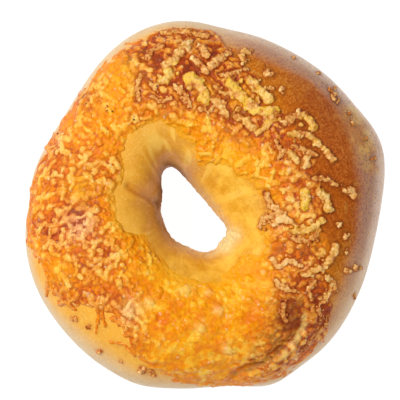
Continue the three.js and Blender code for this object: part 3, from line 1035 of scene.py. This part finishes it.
crust_mesh, angle, section, plain, facing = plain_ring("crust", 420, 232, 0.74, 180)
inner = smooth_step(104, 124, section) * (section < 215)
throat = smooth_step(146, 166, section) * smooth_step(240, 205, section)
folds = grain(np.column_stack([from_angle(FOLD_SCALE, angle), section / 28]), 1, 11)
folds += 0.6 * grain(np.column_stack([from_angle(2.4 * FOLD_SCALE, angle), section / 22]), 1, 21)
folds *= 0.25 + 0.75 * np.clip(spots(plain, FOLD_SPOTS), 0, 1)
nub = np.clip(1.6 * spots(plain, TORN_NUB), 0, 1) * inner
lift = dough_wave(plain, section) + join_relief(plain)
skin = DENT_DEPTH * grain(plain, 6, 5) + BLISTER_HEIGHT * grain(plain, 1.6, 6)
lift += np.abs(np.sin(np.radians(section))) * skin
lift += inner * FOLD_HEIGHT * folds + throat * THROAT_LUMPS * grain(plain, 1.5, 7)
lift += nub * (0.7 + 0.9 * grain(plain, 1.6, 9))
crust_points = plain + facing * lift[:, None]
crust_points[:, 2] = np.maximum(crust_points[:, 2], 0)
print("folds in the hole reach", round(FOLD_HEIGHT * np.ptp(folds), 2), "mm")

# %% Where the crust is pale or smeared, and where shade is painted in the hole
SMEAR_SPOTS = [(46, 28.5, 3.2, 1.5), (49, 23.5, 3.4, 1.5), (51.5, 18, 3, 1.3), (53, 11.5, 2.4, 0.9)]
# Places of painted shade on the hole's steep left side.
WALL_SHADE_SPOTS = [(-11, 13, 8, 1.0), (-16, 2, 8, 1.0), (-12, -7, 6, 0.7), (-6, 12, 4, 0.5)]
SIDE_BAND = 4
SIDE_BAND_SWELLS = [(0, 5, 40), (17, 4, 12), (68, 3.4, 24), (182, -1.5, 30), (238, 4, 20), (330, 2, 14)]
SMEAR_BEYOND = 44

from_axis = np.hypot(plain[:, 0], plain[:, 1])
from_rim = np.hypot(*rim_point(angle).T) - from_axis
band = swollen(SIDE_BAND, SIDE_BAND_SWELLS, angle) + 1.2 * grain(plain, 8, 8)
side_share = np.where(section <= 180, 1 - smooth_step(0, 1, from_rim / band), 1)
side_share[section > 200] = 1
side_share[(section > 130) & (section < 230)] = 0
smeared = np.clip(spots(plain, SMEAR_SPOTS) + 0.5 * grain(plain, 1.6, 10), 0, 1)
smeared *= (from_axis > SMEAR_BEYOND) * (section < 60)
# Painted shade on the hole's inner slope and throat, on the left, which faces away from the key light.
wall_shade_share = 0.45 * smooth_step(112, 146, section) * inner + 0.55 * throat
wall_shade_share *= np.clip(spots(plain, WALL_SHADE_SPOTS), 0, 1)
print("the pale side is", band.min().round(1), "to", band.max().round(1), "mm wide from above")

# %% What the crust's finish reads
BROWN_SPOTS = [(40, 30, 26, 1.0), (46, -4, 24, 0.9), (16, 50, 14, 0.5), (30, -38, 16, 0.4)]
# Deeper yellow brown on the slopes round the hole's left and far side: painted shade, as they face away from
# the key light.
OCHRE_SHADE_SPOTS = [(-20, 4, 12, 1.0), (-12, 20, 12, 1.0), (-14, -12, 8, 0.7)]

crust = finished(
    crust_mesh,
    crust_points,
    brown=np.clip(spots(plain, BROWN_SPOTS), 0, 1),
    side=side_share,
    inner=inner,
    folds=folds,
    # Painted shade in the hole.
    wall=wall_shade_share,
    # Painted shade on the slopes round the hole.
    ochre=np.clip(spots(plain, OCHRE_SHADE_SPOTS), 0, 1),
    throat=throat,
    base=smooth_step(5, 0, crust_points[:, 2]) * (section > 180),
    seam=beside_line(plain, OUTER_SEAM, 7),
    nub=nub,
    smear=smeared,
    # Painted shadow round each shred and crumb.
    halo=smooth_step(0.9, 0.0, gap_to_lumps(crust_points, all_lumps)),
)

# %% [markdown]
# ## Materials
#
# A small kit of helpers keeps the node trees short. `paint` turns a colour as seen on a screen into
# the linear values that the renderer works with. `Nodes` adds nodes and wires them, `Values` knows
# the nodes that work out numbers, and `Finish` those that mix colours and shape the light. Plain
# node calls would do the same in several times the lines.


# %% Screen colours
def paint(red, green, blue):
    """A screen colour, 0 to 255, as linear RGBA."""
    def linear(value):
        value /= 255
        return value / 12.92 if value <= 0.04045 else ((value + 0.055) / 1.055) ** 2.4

    return (linear(red), linear(green), linear(blue), 1.0)


print("a screen value of 128 is", round(paint(128, 128, 128)[0], 3), "in linear light")


# %% Adding and wiring nodes
class Nodes:
    """A material's nodes, each added and wired in one call."""

    def __init__(self, name):
        self.material = bpy.data.materials.new(name)
        self.material.use_nodes = True
        self.nodes = self.material.node_tree.nodes
        self.links = self.material.node_tree.links
        self.shader = self.nodes["Principled BSDF"]
        self.where = self.add("ShaderNodeTexCoord").outputs["Object"]

    def add(self, kind, inputs=None, **settings):
        node = self.nodes.new(kind)
        for key, value in settings.items():
            setattr(node, key, value)
        self.put(node, inputs or {})
        return node

    def put(self, node, inputs):
        """Gives a node its inputs, each a plain value or another node's output."""
        for key, value in inputs.items():
            if isinstance(value, bpy.types.NodeSocket):
                self.links.new(value, node.inputs[key])
            else:
                node.inputs[key].default_value = value

    def shade(self, inputs):
        self.put(self.shader, inputs)
        print(self.material.name, "has", len(self.nodes), "nodes")
        return self.material


print("Nodes can", [name for name in vars(Nodes) if name[0] != "_"])


# %% Nodes that work out numbers
class Values(Nodes):
    """Attributes, noises and sums."""

    def attribute(self, name):
        return self.add("ShaderNodeAttribute", attribute_name=name).outputs["Fac"]

    def noise(self, scale, detail=4, roughness=0.55):
        inputs = {"Vector": self.where, "Scale": scale, "Detail": detail, "Roughness": roughness}
        return self.add("ShaderNodeTexNoise", inputs).outputs["Fac"]

    def math(self, operation, a, b=0.0, clamp=False):
        return self.add("ShaderNodeMath", {0: a, 1: b}, operation=operation, use_clamp=clamp).outputs[0]

    def vector(self, operation, *inputs):
        return self.add("ShaderNodeVectorMath", dict(enumerate(inputs)), operation=operation).outputs[0]

    def reach(self, value, low, high, start=0.0, end=1.0):
        """Maps low..high onto start..end smoothly, and holds the ends outside."""
        inputs = {"Value": value, "From Min": low, "From Max": high, "To Min": start, "To Max": end}
        return self.add("ShaderNodeMapRange", inputs, interpolation_type="SMOOTHSTEP").outputs["Result"]

    def centred(self, value, amount):
        """A noise from -amount to amount, roughly."""
        return self.math("MULTIPLY", self.math("SUBTRACT", value, 0.5), 2 * amount)

    def total(self, *terms):
        """The sum of the values in terms, each after its weight."""
        result = 0.0
        for weight, value in zip(terms[::2], terms[1::2]):
            result = self.math("ADD", result, self.math("MULTIPLY", value, weight))
        return result


print("Values can also", [name for name in vars(Values) if name[0] != "_"])


# %% Nodes that mix colours and shape the light
class Finish(Values):
    """Mixed colours, ramps and bumps."""

    def mix(self, share, a, b):
        return self.add("ShaderNodeMix", {0: share, 6: a, 7: b}, data_type="RGBA").outputs[2]

    def over(self, colour, share, strength, paint_over):
        """Paints over a colour where share is high, as far as strength."""
        return self.mix(self.math("MULTIPLY", share, strength), colour, paint_over)

    def ramp(self, value, stops):
        node = self.add("ShaderNodeValToRGB", {"Fac": value})
        elements = node.color_ramp.elements
        while len(elements) < len(stops):
            elements.new(0.5)
        for element, (at, colour) in zip(elements, stops):
            element.position = at
            element.color = colour
        return node.outputs["Color"]

    def bump(self, height, strength, distance):
        inputs = {"Height": height, "Strength": strength, "Distance": distance}
        return self.add("ShaderNodeBump", inputs).outputs["Normal"]


print("Finish can also", [name for name in vars(Finish) if name[0] != "_"])

# %% [markdown]
# ### Baked crust
#
# A boiled and baked crust is glossy but soft. Its colour runs from the pale side, through gold, to
# a deep orange brown where the oven was hottest, and a ramp over the `brown` attribute gives that
# run. Between the brown top and the pale side it passes through a mauve band, a painted sheen for
# the bright room reflected on the steep shoulder, and a smear of melted fat lies on one shoulder.
# Painting these by hand would fix them to one mesh; attributes follow it.

# %% Colours of the crust's top and side
TOP_COLOURS = [(0.0, paint(240, 172, 58)), (0.5, paint(214, 124, 10)), (1.0, paint(178, 82, 0))]


def top_colour(tree, mottle):
    """The upper crust, brown from the oven, the pale side below it, and a painted sheen between them."""
    brown = tree.attribute("brown")
    side = tree.attribute("side")
    top = tree.ramp(tree.math("ADD", brown, tree.centred(mottle, 0.25), clamp=True), TOP_COLOURS)
    pale = tree.mix(brown, paint(222, 188, 142), paint(234, 204, 182))
    colour = tree.mix(side, top, pale)
    # A mauve band between the brown top and the pale side: a painted sheen, the bright room reflected on the
    # steep shoulder.
    between = tree.math("MULTIPLY", tree.reach(side, 0.0, 0.45), tree.reach(side, 1.0, 0.6))
    colour = tree.over(colour, tree.math("MULTIPLY", between, brown), 0.75, paint(172, 122, 98))
    smear = tree.mix(tree.reach(mottle, 0.42, 0.58), paint(238, 188, 88), paint(200, 128, 52))
    colour = tree.over(colour, tree.attribute("smear"), 0.8, smear)
    return tree.over(colour, tree.attribute("seam"), 0.5, paint(206, 150, 84))


print(len(TOP_COLOURS), "colours from gold to brown")


# %% Colours in the hole
GOLDEN_DOUGH = paint(252, 196, 72)
TANNED_DOUGH = paint(226, 156, 30)


def hole_colour(tree, mottle):
    """The golden dough round the hole, with its folds, its painted shade and light, and its pale torn nub.
    """
    folds = tree.attribute("folds")
    golden = tree.mix(tree.reach(mottle, 0.35, 0.65), GOLDEN_DOUGH, TANNED_DOUGH)
    # Deeper yellow brown on the slopes round the hole's left: painted shade.
    golden = tree.over(golden, tree.attribute("ochre"), 0.6, paint(222, 146, 26))
    # Darker in the fold creases and lighter on the ridges: painted shade and light over the folds.
    golden = tree.mix(tree.reach(folds, 0.0, -0.3, 0.0, 0.55), golden, paint(214, 148, 48))
    golden = tree.mix(tree.reach(folds, 0.03, 0.3, 0.0, 0.7), golden, paint(252, 206, 92))
    # Paler deep in the throat: painted light where the hole lies in shade.
    colour = tree.over(golden, tree.attribute("throat"), 0.5, paint(232, 196, 130))
    # Mauve brown on the hole's steep left side: painted shade.
    wall = tree.mix(tree.reach(mottle, 0.42, 0.58), paint(142, 98, 74), paint(194, 162, 148))
    colour = tree.over(colour, tree.attribute("wall"), 0.85, wall)
    return tree.over(colour, tree.attribute("nub"), 1.0, paint(240, 214, 146))


print("the dough in the hole is", [round(value, 2) for value in GOLDEN_DOUGH[:3]], "at its lightest")


# %% Crust material
def crust_material():
    tree = Finish("browned_crust")
    mottle = tree.noise(150, 5)
    speckle = tree.noise(1300, 4, 0.75)
    brown = tree.attribute("brown")
    inner = tree.attribute("inner")
    colour = tree.mix(inner, top_colour(tree, mottle), hole_colour(tree, mottle))
    fleck_share = tree.reach(inner, 0.0, 1.0, 0.5, 0.3)
    flecks = tree.math("MULTIPLY", tree.reach(speckle, 0.5, 0.66), fleck_share)
    colour = tree.mix(flecks, colour, tree.mix(brown, paint(255, 214, 120), paint(226, 146, 62)))
    dark_share = tree.math("MULTIPLY", tree.reach(speckle, 0.5, 0.36, 0.0, 0.6), brown)
    colour = tree.mix(dark_share, colour, paint(120, 50, 4))
    # Rust brown round the foot of each shred and crumb: a painted shadow.
    foot = tree.mix(brown, paint(214, 128, 44), paint(124, 52, 6))
    colour = tree.over(colour, tree.attribute("halo"), 0.6, foot)
    colour = tree.over(colour, tree.attribute("base"), 0.8, paint(196, 128, 62))
    blisters = tree.math("ADD", speckle, tree.math("MULTIPLY", tree.noise(350, 2), 0.8))
    rough = tree.math("ADD", tree.reach(mottle, 0.3, 0.7, 0.3, 0.44), tree.attribute("wall"), clamp=True)
    return tree.shade({
        "Base Color": colour,
        "Roughness": rough,
        "Specular IOR Level": 0.18,
        "Normal": tree.bump(blisters, 0.4, 0.0003),
    })


crust_finish = crust_material()

# %% [markdown]
# ### Melted cheese
#
# The melted layer is translucent fat and protein: yellow where it is thick and soft, red brown
# where it lies thin on the hot crust, and cream on the bits that stand clear. The `dome` attribute
# tells a bit from the gap beside it, `line` marks the foot of a bit, brown from toasting and darker
# as painted shade in the crease, `soft` the smooth wet pools, and `toast` says how far the browning
# went. Rounded Voronoi cells, finer than the mesh, break the surface into the small wet beads that
# glint, and some of their tops are painted pale as glints. One noise for all of it would look like
# rust or stone, because in real cheese the colour follows the form.

# %% Cheese colours
GAP_COLOURS = [
    (0.0, paint(244, 152, 0)),
    (0.25, paint(238, 132, 4)),
    (0.5, paint(222, 106, 12)),
    (0.75, paint(182, 72, 16)),
    (1.0, paint(138, 52, 20)),
]
SOFT_BITS = [
    (0.0, paint(226, 106, 0)),
    (0.4, paint(236, 128, 2)),
    (0.7, paint(242, 152, 10)),
    (1.0, paint(250, 196, 74)),
]
SOFT_CHEESE = [
    (0.4, paint(228, 106, 0)),
    (0.46, paint(236, 132, 0)),
    (0.53, paint(246, 160, 2)),
    (0.61, paint(253, 204, 66)),
]
TOASTED_BITS = [
    (0.0, paint(160, 62, 8)),
    (0.35, paint(204, 100, 18)),
    (0.7, paint(230, 146, 48)),
    (1.0, paint(250, 198, 104)),
]
EDGE_ORANGE = paint(226, 116, 2)
# Foot lines and the ring round shreds: toasted brown, and painted shade.
BROWNED_AND_SHADED_LINE = paint(170, 66, 12)
THIN_GOLD = paint(240, 172, 40)
# Painted glints on the tops of wet beads.
GLINT_CREAM = paint(255, 226, 176)
# Pinkish cream: pale cheese, and painted highlights.
CREAM_AND_HIGHLIGHT = paint(252, 218, 194)
BRIGHT_YELLOW = paint(250, 184, 10)
DARK_TOAST = paint(124, 46, 12)
BARE_DOUGH = paint(234, 194, 106)
# Painted shade in the torn cleft.
CLEFT_SHADE = paint(146, 92, 40)
print(len(GAP_COLOURS), "colours for the gaps, from soft to toasted")


# %% Wet beads and the light in cheese
BEAD_SIZE = 0.0014
BLOB_SIZE = 0.0034
CHEESE_LIGHT = {
    "Specular IOR Level": 0.17,
    "Subsurface Weight": 0.08,
    "Subsurface Radius": (1.0, 0.4, 0.1),
    "Subsurface Scale": 0.001,
}


def beads(tree, size):
    """Rounded cells of about that size in metres: a random value for each, and its height."""
    wobble = tree.add("ShaderNodeTexNoise", {"Vector": tree.where, "Scale": 0.6 / size, "Detail": 1})
    middle = tree.vector("SUBTRACT", wobble.outputs["Color"], (0.5, 0.5, 0.5))
    moved = tree.vector("MULTIPLY_ADD", middle, (0.9 * size,) * 3, tree.where)
    cell = tree.add("ShaderNodeTexVoronoi", {"Vector": moved, "Scale": 1 / size})
    value = tree.add("ShaderNodeSeparateColor", {"Color": cell.outputs["Color"]}).outputs[0]
    return value, tree.reach(cell.outputs["Distance"], 0.0, 0.7, 1.0, 0.0)


print("beads are", 1000 * BEAD_SIZE, "mm across and blobs", 1000 * BLOB_SIZE, "mm")


# %% Colour of gaps and bits
def bits_and_gaps(tree, patch, region, blob, bead, grit):
    """Gap or bit, each by its own toast, and the line between them, toasted brown and painted darker as
    shade.
    """
    dome = tree.attribute("dome")
    toasted = tree.math("ADD", tree.attribute("toast"), tree.centred(patch, 0.35))
    toasted = tree.math("ADD", toasted, tree.centred(region, 0.35), clamp=True)
    tone = tree.total(0.4, tree.attribute("tone"), 0.42, dome, 0.2, bead, 0.15, blob)
    tone = tree.math("ADD", tone, tree.centred(grit, 0.35), clamp=True)
    soft_bit, toasted_bit = tree.ramp(tone, SOFT_BITS), tree.ramp(tone, TOASTED_BITS)
    bit = tree.mix(tree.reach(toasted, 0.1, 0.7), soft_bit, toasted_bit)
    gap = tree.ramp(tree.math("ADD", toasted, tree.centred(bead, 0.3), clamp=True), GAP_COLOURS)
    standing = tree.math("ADD", dome, tree.centred(bead, 0.12))
    colour = tree.mix(tree.reach(standing, 0.05, 0.4), gap, bit)
    # The foot line: toasting, and painted shade in the crease between bits.
    foot = tree.math("MULTIPLY", tree.attribute("line"), tree.reach(dome, 0.6, 0.25))
    foot = tree.math("MULTIPLY", foot, tree.reach(toasted, 0.0, 0.5, 0.2, 0.85))
    return tree.mix(foot, colour, BROWNED_AND_SHADED_LINE)


print("a bit has", len(SOFT_BITS), "soft colours and", len(TOASTED_BITS), "toasted ones")


# %% Soft cheese and painted glints
def layer_colour(tree, bead, bead_height, grit):
    """Bits and gaps, with the soft pools between them and painted glints on the tops of small beads."""
    patch = tree.noise(240, 3)
    region = tree.noise(100, 2)
    blob = beads(tree, BLOB_SIZE)[0]
    colour = bits_and_gaps(tree, patch, region, blob, bead, grit)
    blend = tree.total(0.3, region, 0.25, patch, 0.1, blob, 0.1, grit, 0.25, tree.noise(620, 1))
    # A little paler in the pale spots: pale cheese, and painted highlights.
    blend = tree.math("ADD", blend, tree.math("MULTIPLY", tree.attribute("pale"), 0.1))
    colour = tree.over(colour, tree.attribute("soft"), 0.75, tree.ramp(blend, SOFT_CHEESE))
    # Painted glints on the tops of some beads.
    painted_glint = tree.math("MULTIPLY", tree.reach(bead, 0.8, 0.9), tree.reach(bead_height, 0.35, 0.8))
    return tree.over(colour, tree.math("MULTIPLY", painted_glint, tree.reach(patch, 0.35, 0.6)), 0.45, GLINT_CREAM)


print("soft cheese has", len(SOFT_CHEESE), "colours")

# %% Marks on the layer
MARKS = [
    ("yellow", 0.4, BRIGHT_YELLOW),
    ("edge", 0.45, EDGE_ORANGE),
    ("thin", 0.7, THIN_GOLD),
    # Painted shadow round each shred and crumb.
    ("halo", 0.5, BROWNED_AND_SHADED_LINE),
    ("dark", 0.75, DARK_TOAST),
    ("ridge", 0.3, BARE_DOUGH),
    ("streak", 0.8, BARE_DOUGH),
    # Painted shade in the cleft.
    ("cleft", 0.8, CLEFT_SHADE),
]


def layer_marks(tree, colour):
    """Pale and yellow patches, what the edges and the join leave, and painted shadow round the shreds."""
    standing = tree.reach(tree.attribute("dome"), 0.1, 0.5, 0.2, 1.0)
    # Pinkish cream on standing domes in the pale spots: pale cheese, and painted highlights.
    colour = tree.over(colour, tree.math("MULTIPLY", tree.attribute("pale"), standing), 0.2, CREAM_AND_HIGHLIGHT)
    for name, strength, mark in MARKS:
        colour = tree.over(colour, tree.attribute(name), strength, mark)
    return colour


print("marks:", [name for name, _, _ in MARKS])


# %% Cheese material
def layer_material():
    tree = Finish("melted_cheese")
    grit = tree.noise(1400, 3, 0.6)
    bead, bead_height = beads(tree, BEAD_SIZE)
    firm = tree.reach(tree.attribute("soft"), 0.2, 1.0, 1.0, 0.45)
    height = tree.math("ADD", tree.math("MULTIPLY", bead_height, firm), tree.math("MULTIPLY", grit, 0.4))
    return tree.shade({
        "Base Color": layer_marks(tree, layer_colour(tree, bead, bead_height, grit)),
        "Roughness": tree.reach(tree.attribute("dome"), 0.0, 0.4, 0.44, 0.16),
        "Normal": tree.bump(height, 1.0, 0.0003),
        **CHEESE_LIGHT,
    })


layer_finish = layer_material()

# %% [markdown]
# ### Toasted shreds
#
# A shred's colour follows the `height` attribute: rust at the foot, tan on the sides and cream on
# top. This is mostly painted light and shade that rounds it, with some rust browning at the foot,
# where it touched the hot crust. Some shreds kept a yellow core.
# The crumbs are the same cheese and share the finish.

# %% Shred material
# Rust at the foot to cream on top: by height, mostly painted shade and light.
SHRED_COLOURS = [
    (0.0, paint(122, 46, 8)),
    (0.25, paint(176, 88, 26)),
    (0.45, paint(206, 126, 52)),
    (0.7, paint(230, 166, 86)),
    (1.0, paint(252, 212, 144)),
]
YELLOW_CORE = paint(246, 198, 48)


def shred_material():
    tree = Finish("toasted_shred")
    grit = tree.noise(1100, 3, 0.6)
    patch = tree.noise(420, 2)
    # Lighter towards the top of each lump: painted light and shade by height, with rust browning at the
    # foot.
    top = tree.reach(tree.math("ADD", tree.attribute("height"), tree.centred(patch, 0.25)), 0.7, 1.04)
    shade = tree.total(0.5, top, 0.5, tree.attribute("tone"), 0.6, grit, 0.5, tree.noise(900, 1))
    colour = tree.ramp(tree.math("SUBTRACT", shade, 0.63, clamp=True), SHRED_COLOURS)
    core = tree.math("MULTIPLY", tree.attribute("yellow"), tree.reach(patch, 0.35, 0.6))
    return tree.shade({
        "Base Color": tree.over(colour, core, 0.8, YELLOW_CORE),
        "Roughness": tree.reach(grit, 0.3, 0.7, 0.14, 0.3),
        "Normal": tree.bump(tree.math("ADD", grit, patch), 0.8, 0.0005),
        **CHEESE_LIGHT,
    })


shred_finish = shred_material()

# %% [markdown]
# ### Burnt specks
#
# A speck is a scrap of cheese burnt to charcoal: nearly black, dry and rough. One fine noise turns
# it from black to dark brown and gives it its roughness and its grain. The specks are tiny, so more
# would never be seen.

# %% Burnt material, and every finish on its piece
char = Finish("burnt_cheese")
ash = char.noise(2600, 3)
speck_finish = char.shade({
    "Base Color": char.ramp(ash, [(0.3, paint(22, 14, 10)), (0.7, paint(84, 48, 26))]),
    "Roughness": char.reach(ash, 0.3, 0.7, 0.5, 0.8),
    "Normal": char.bump(ash, 0.6, 0.0002),
})
FINISHES = [
    (crust, crust_finish),
    (melted_cheese, layer_finish),
    (cheese_shreds, shred_finish),
    (cheese_crumbs, shred_finish),
    (burnt_specks, speck_finish),
]
for piece, material in FINISHES:
    piece.data.materials.append(material)
    print(piece.name, "is finished in", material.name)

# %% [markdown]
# ## Camera
#
# The bagel lies flat and is seen from straight above. A long lens from two metres away keeps the
# rim and the crown at nearly the same scale, where a short lens close by would swell the crown.

# %% Camera
VIEW_WIDTH = 127.1
VIEW_CENTRE = (-1.43, 1.43)
CAMERA_HEIGHT = 2000
SENSOR = 36

camera = bpy.data.objects.new("camera", bpy.data.cameras.new("camera"))
camera.data.sensor_width = SENSOR
camera.data.lens = SENSOR * (CAMERA_HEIGHT - WAIST_HEIGHT) / VIEW_WIDTH
camera.location = Vector((*VIEW_CENTRE, CAMERA_HEIGHT)) * MM
bpy.context.scene.collection.objects.link(camera)
bpy.context.scene.camera = camera
print("the lens is", round(camera.data.lens), "mm long")

# %% [markdown]
# ## Light and floor
#
# Food looks fresh in large soft lights. The key light and a wider one stand on the left, towards
# the back, and shape the surface. One in front and one on the right are weaker and open the shadows,
# as the even light of a pale room does. The floor is matt and gives off its own white light, so it
# stays plain and even beneath the bagel, like a light table.

# %% Soft lights
LIGHTS = [
    {"name": "key_light", "turn": 160, "lean": 30, "away": 0.8, "size": 0.36, "energy": 4.2},
    {"name": "left_light", "turn": 150, "lean": 55, "away": 0.9, "size": 0.6, "energy": 2.2},
    {"name": "near_light", "turn": 285, "lean": 50, "away": 0.9, "size": 0.7, "energy": 2.1},
    {"name": "right_light", "turn": 30, "lean": 52, "away": 0.9, "size": 0.7, "energy": 1.3},
]
ROOM_LIGHT = 0.18


def soft_light(name, turn, lean, away, size, energy):
    """A square light that faces the bagel, leaning that far from straight above."""
    lamp = bpy.data.lights.new(name, "AREA")
    lamp.size = size
    lamp.energy = energy
    holder = bpy.data.objects.new(name, lamp)
    holder.rotation_euler = (math.radians(lean), 0, math.radians(turn + 90))
    holder.location = holder.rotation_euler.to_matrix() @ Vector((0, 0, away))
    bpy.context.scene.collection.objects.link(holder)
    print(name, "stands at", holder.location.to_tuple(2), "and gives", energy, "W")


for light in LIGHTS:
    soft_light(**light)
room = bpy.data.worlds.new("studio")
room.use_nodes = True
room.node_tree.nodes["Background"].inputs["Color"].default_value = (1, 1, 1, 1)
room.node_tree.nodes["Background"].inputs["Strength"].default_value = ROOM_LIGHT
bpy.context.scene.world = room
bpy.context.scene.view_settings.view_transform = "Standard"

# %% Floor
FLOOR_HALF = 1.5
FLOOR_DROP = 0.0002
FLOOR_GLOW = 0.97

bm = bmesh.new()
below = Matrix.Translation((0, 0, -FLOOR_DROP))
bmesh.ops.create_grid(bm, x_segments=1, y_segments=1, size=FLOOR_HALF, matrix=below)
floor_mesh = bpy.data.meshes.new("floor")
bm.to_mesh(floor_mesh)
bm.free()
floor = bpy.data.objects.new("floor", floor_mesh)
bpy.context.scene.collection.objects.link(floor)
white_floor = Finish("white_floor").shade({
    "Base Color": (0.1, 0.1, 0.1, 1),
    "Roughness": 0.9,
    "Emission Color": (1, 1, 1, 1),
    "Emission Strength": FLOOR_GLOW,
})
floor_mesh.materials.append(white_floor)
print("the floor is", 2 * FLOOR_HALF, "m wide")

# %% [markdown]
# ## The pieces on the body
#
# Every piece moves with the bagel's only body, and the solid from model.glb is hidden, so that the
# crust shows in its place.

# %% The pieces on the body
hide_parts("bagel")
for piece, _ in FINISHES:
    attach(piece, "root")
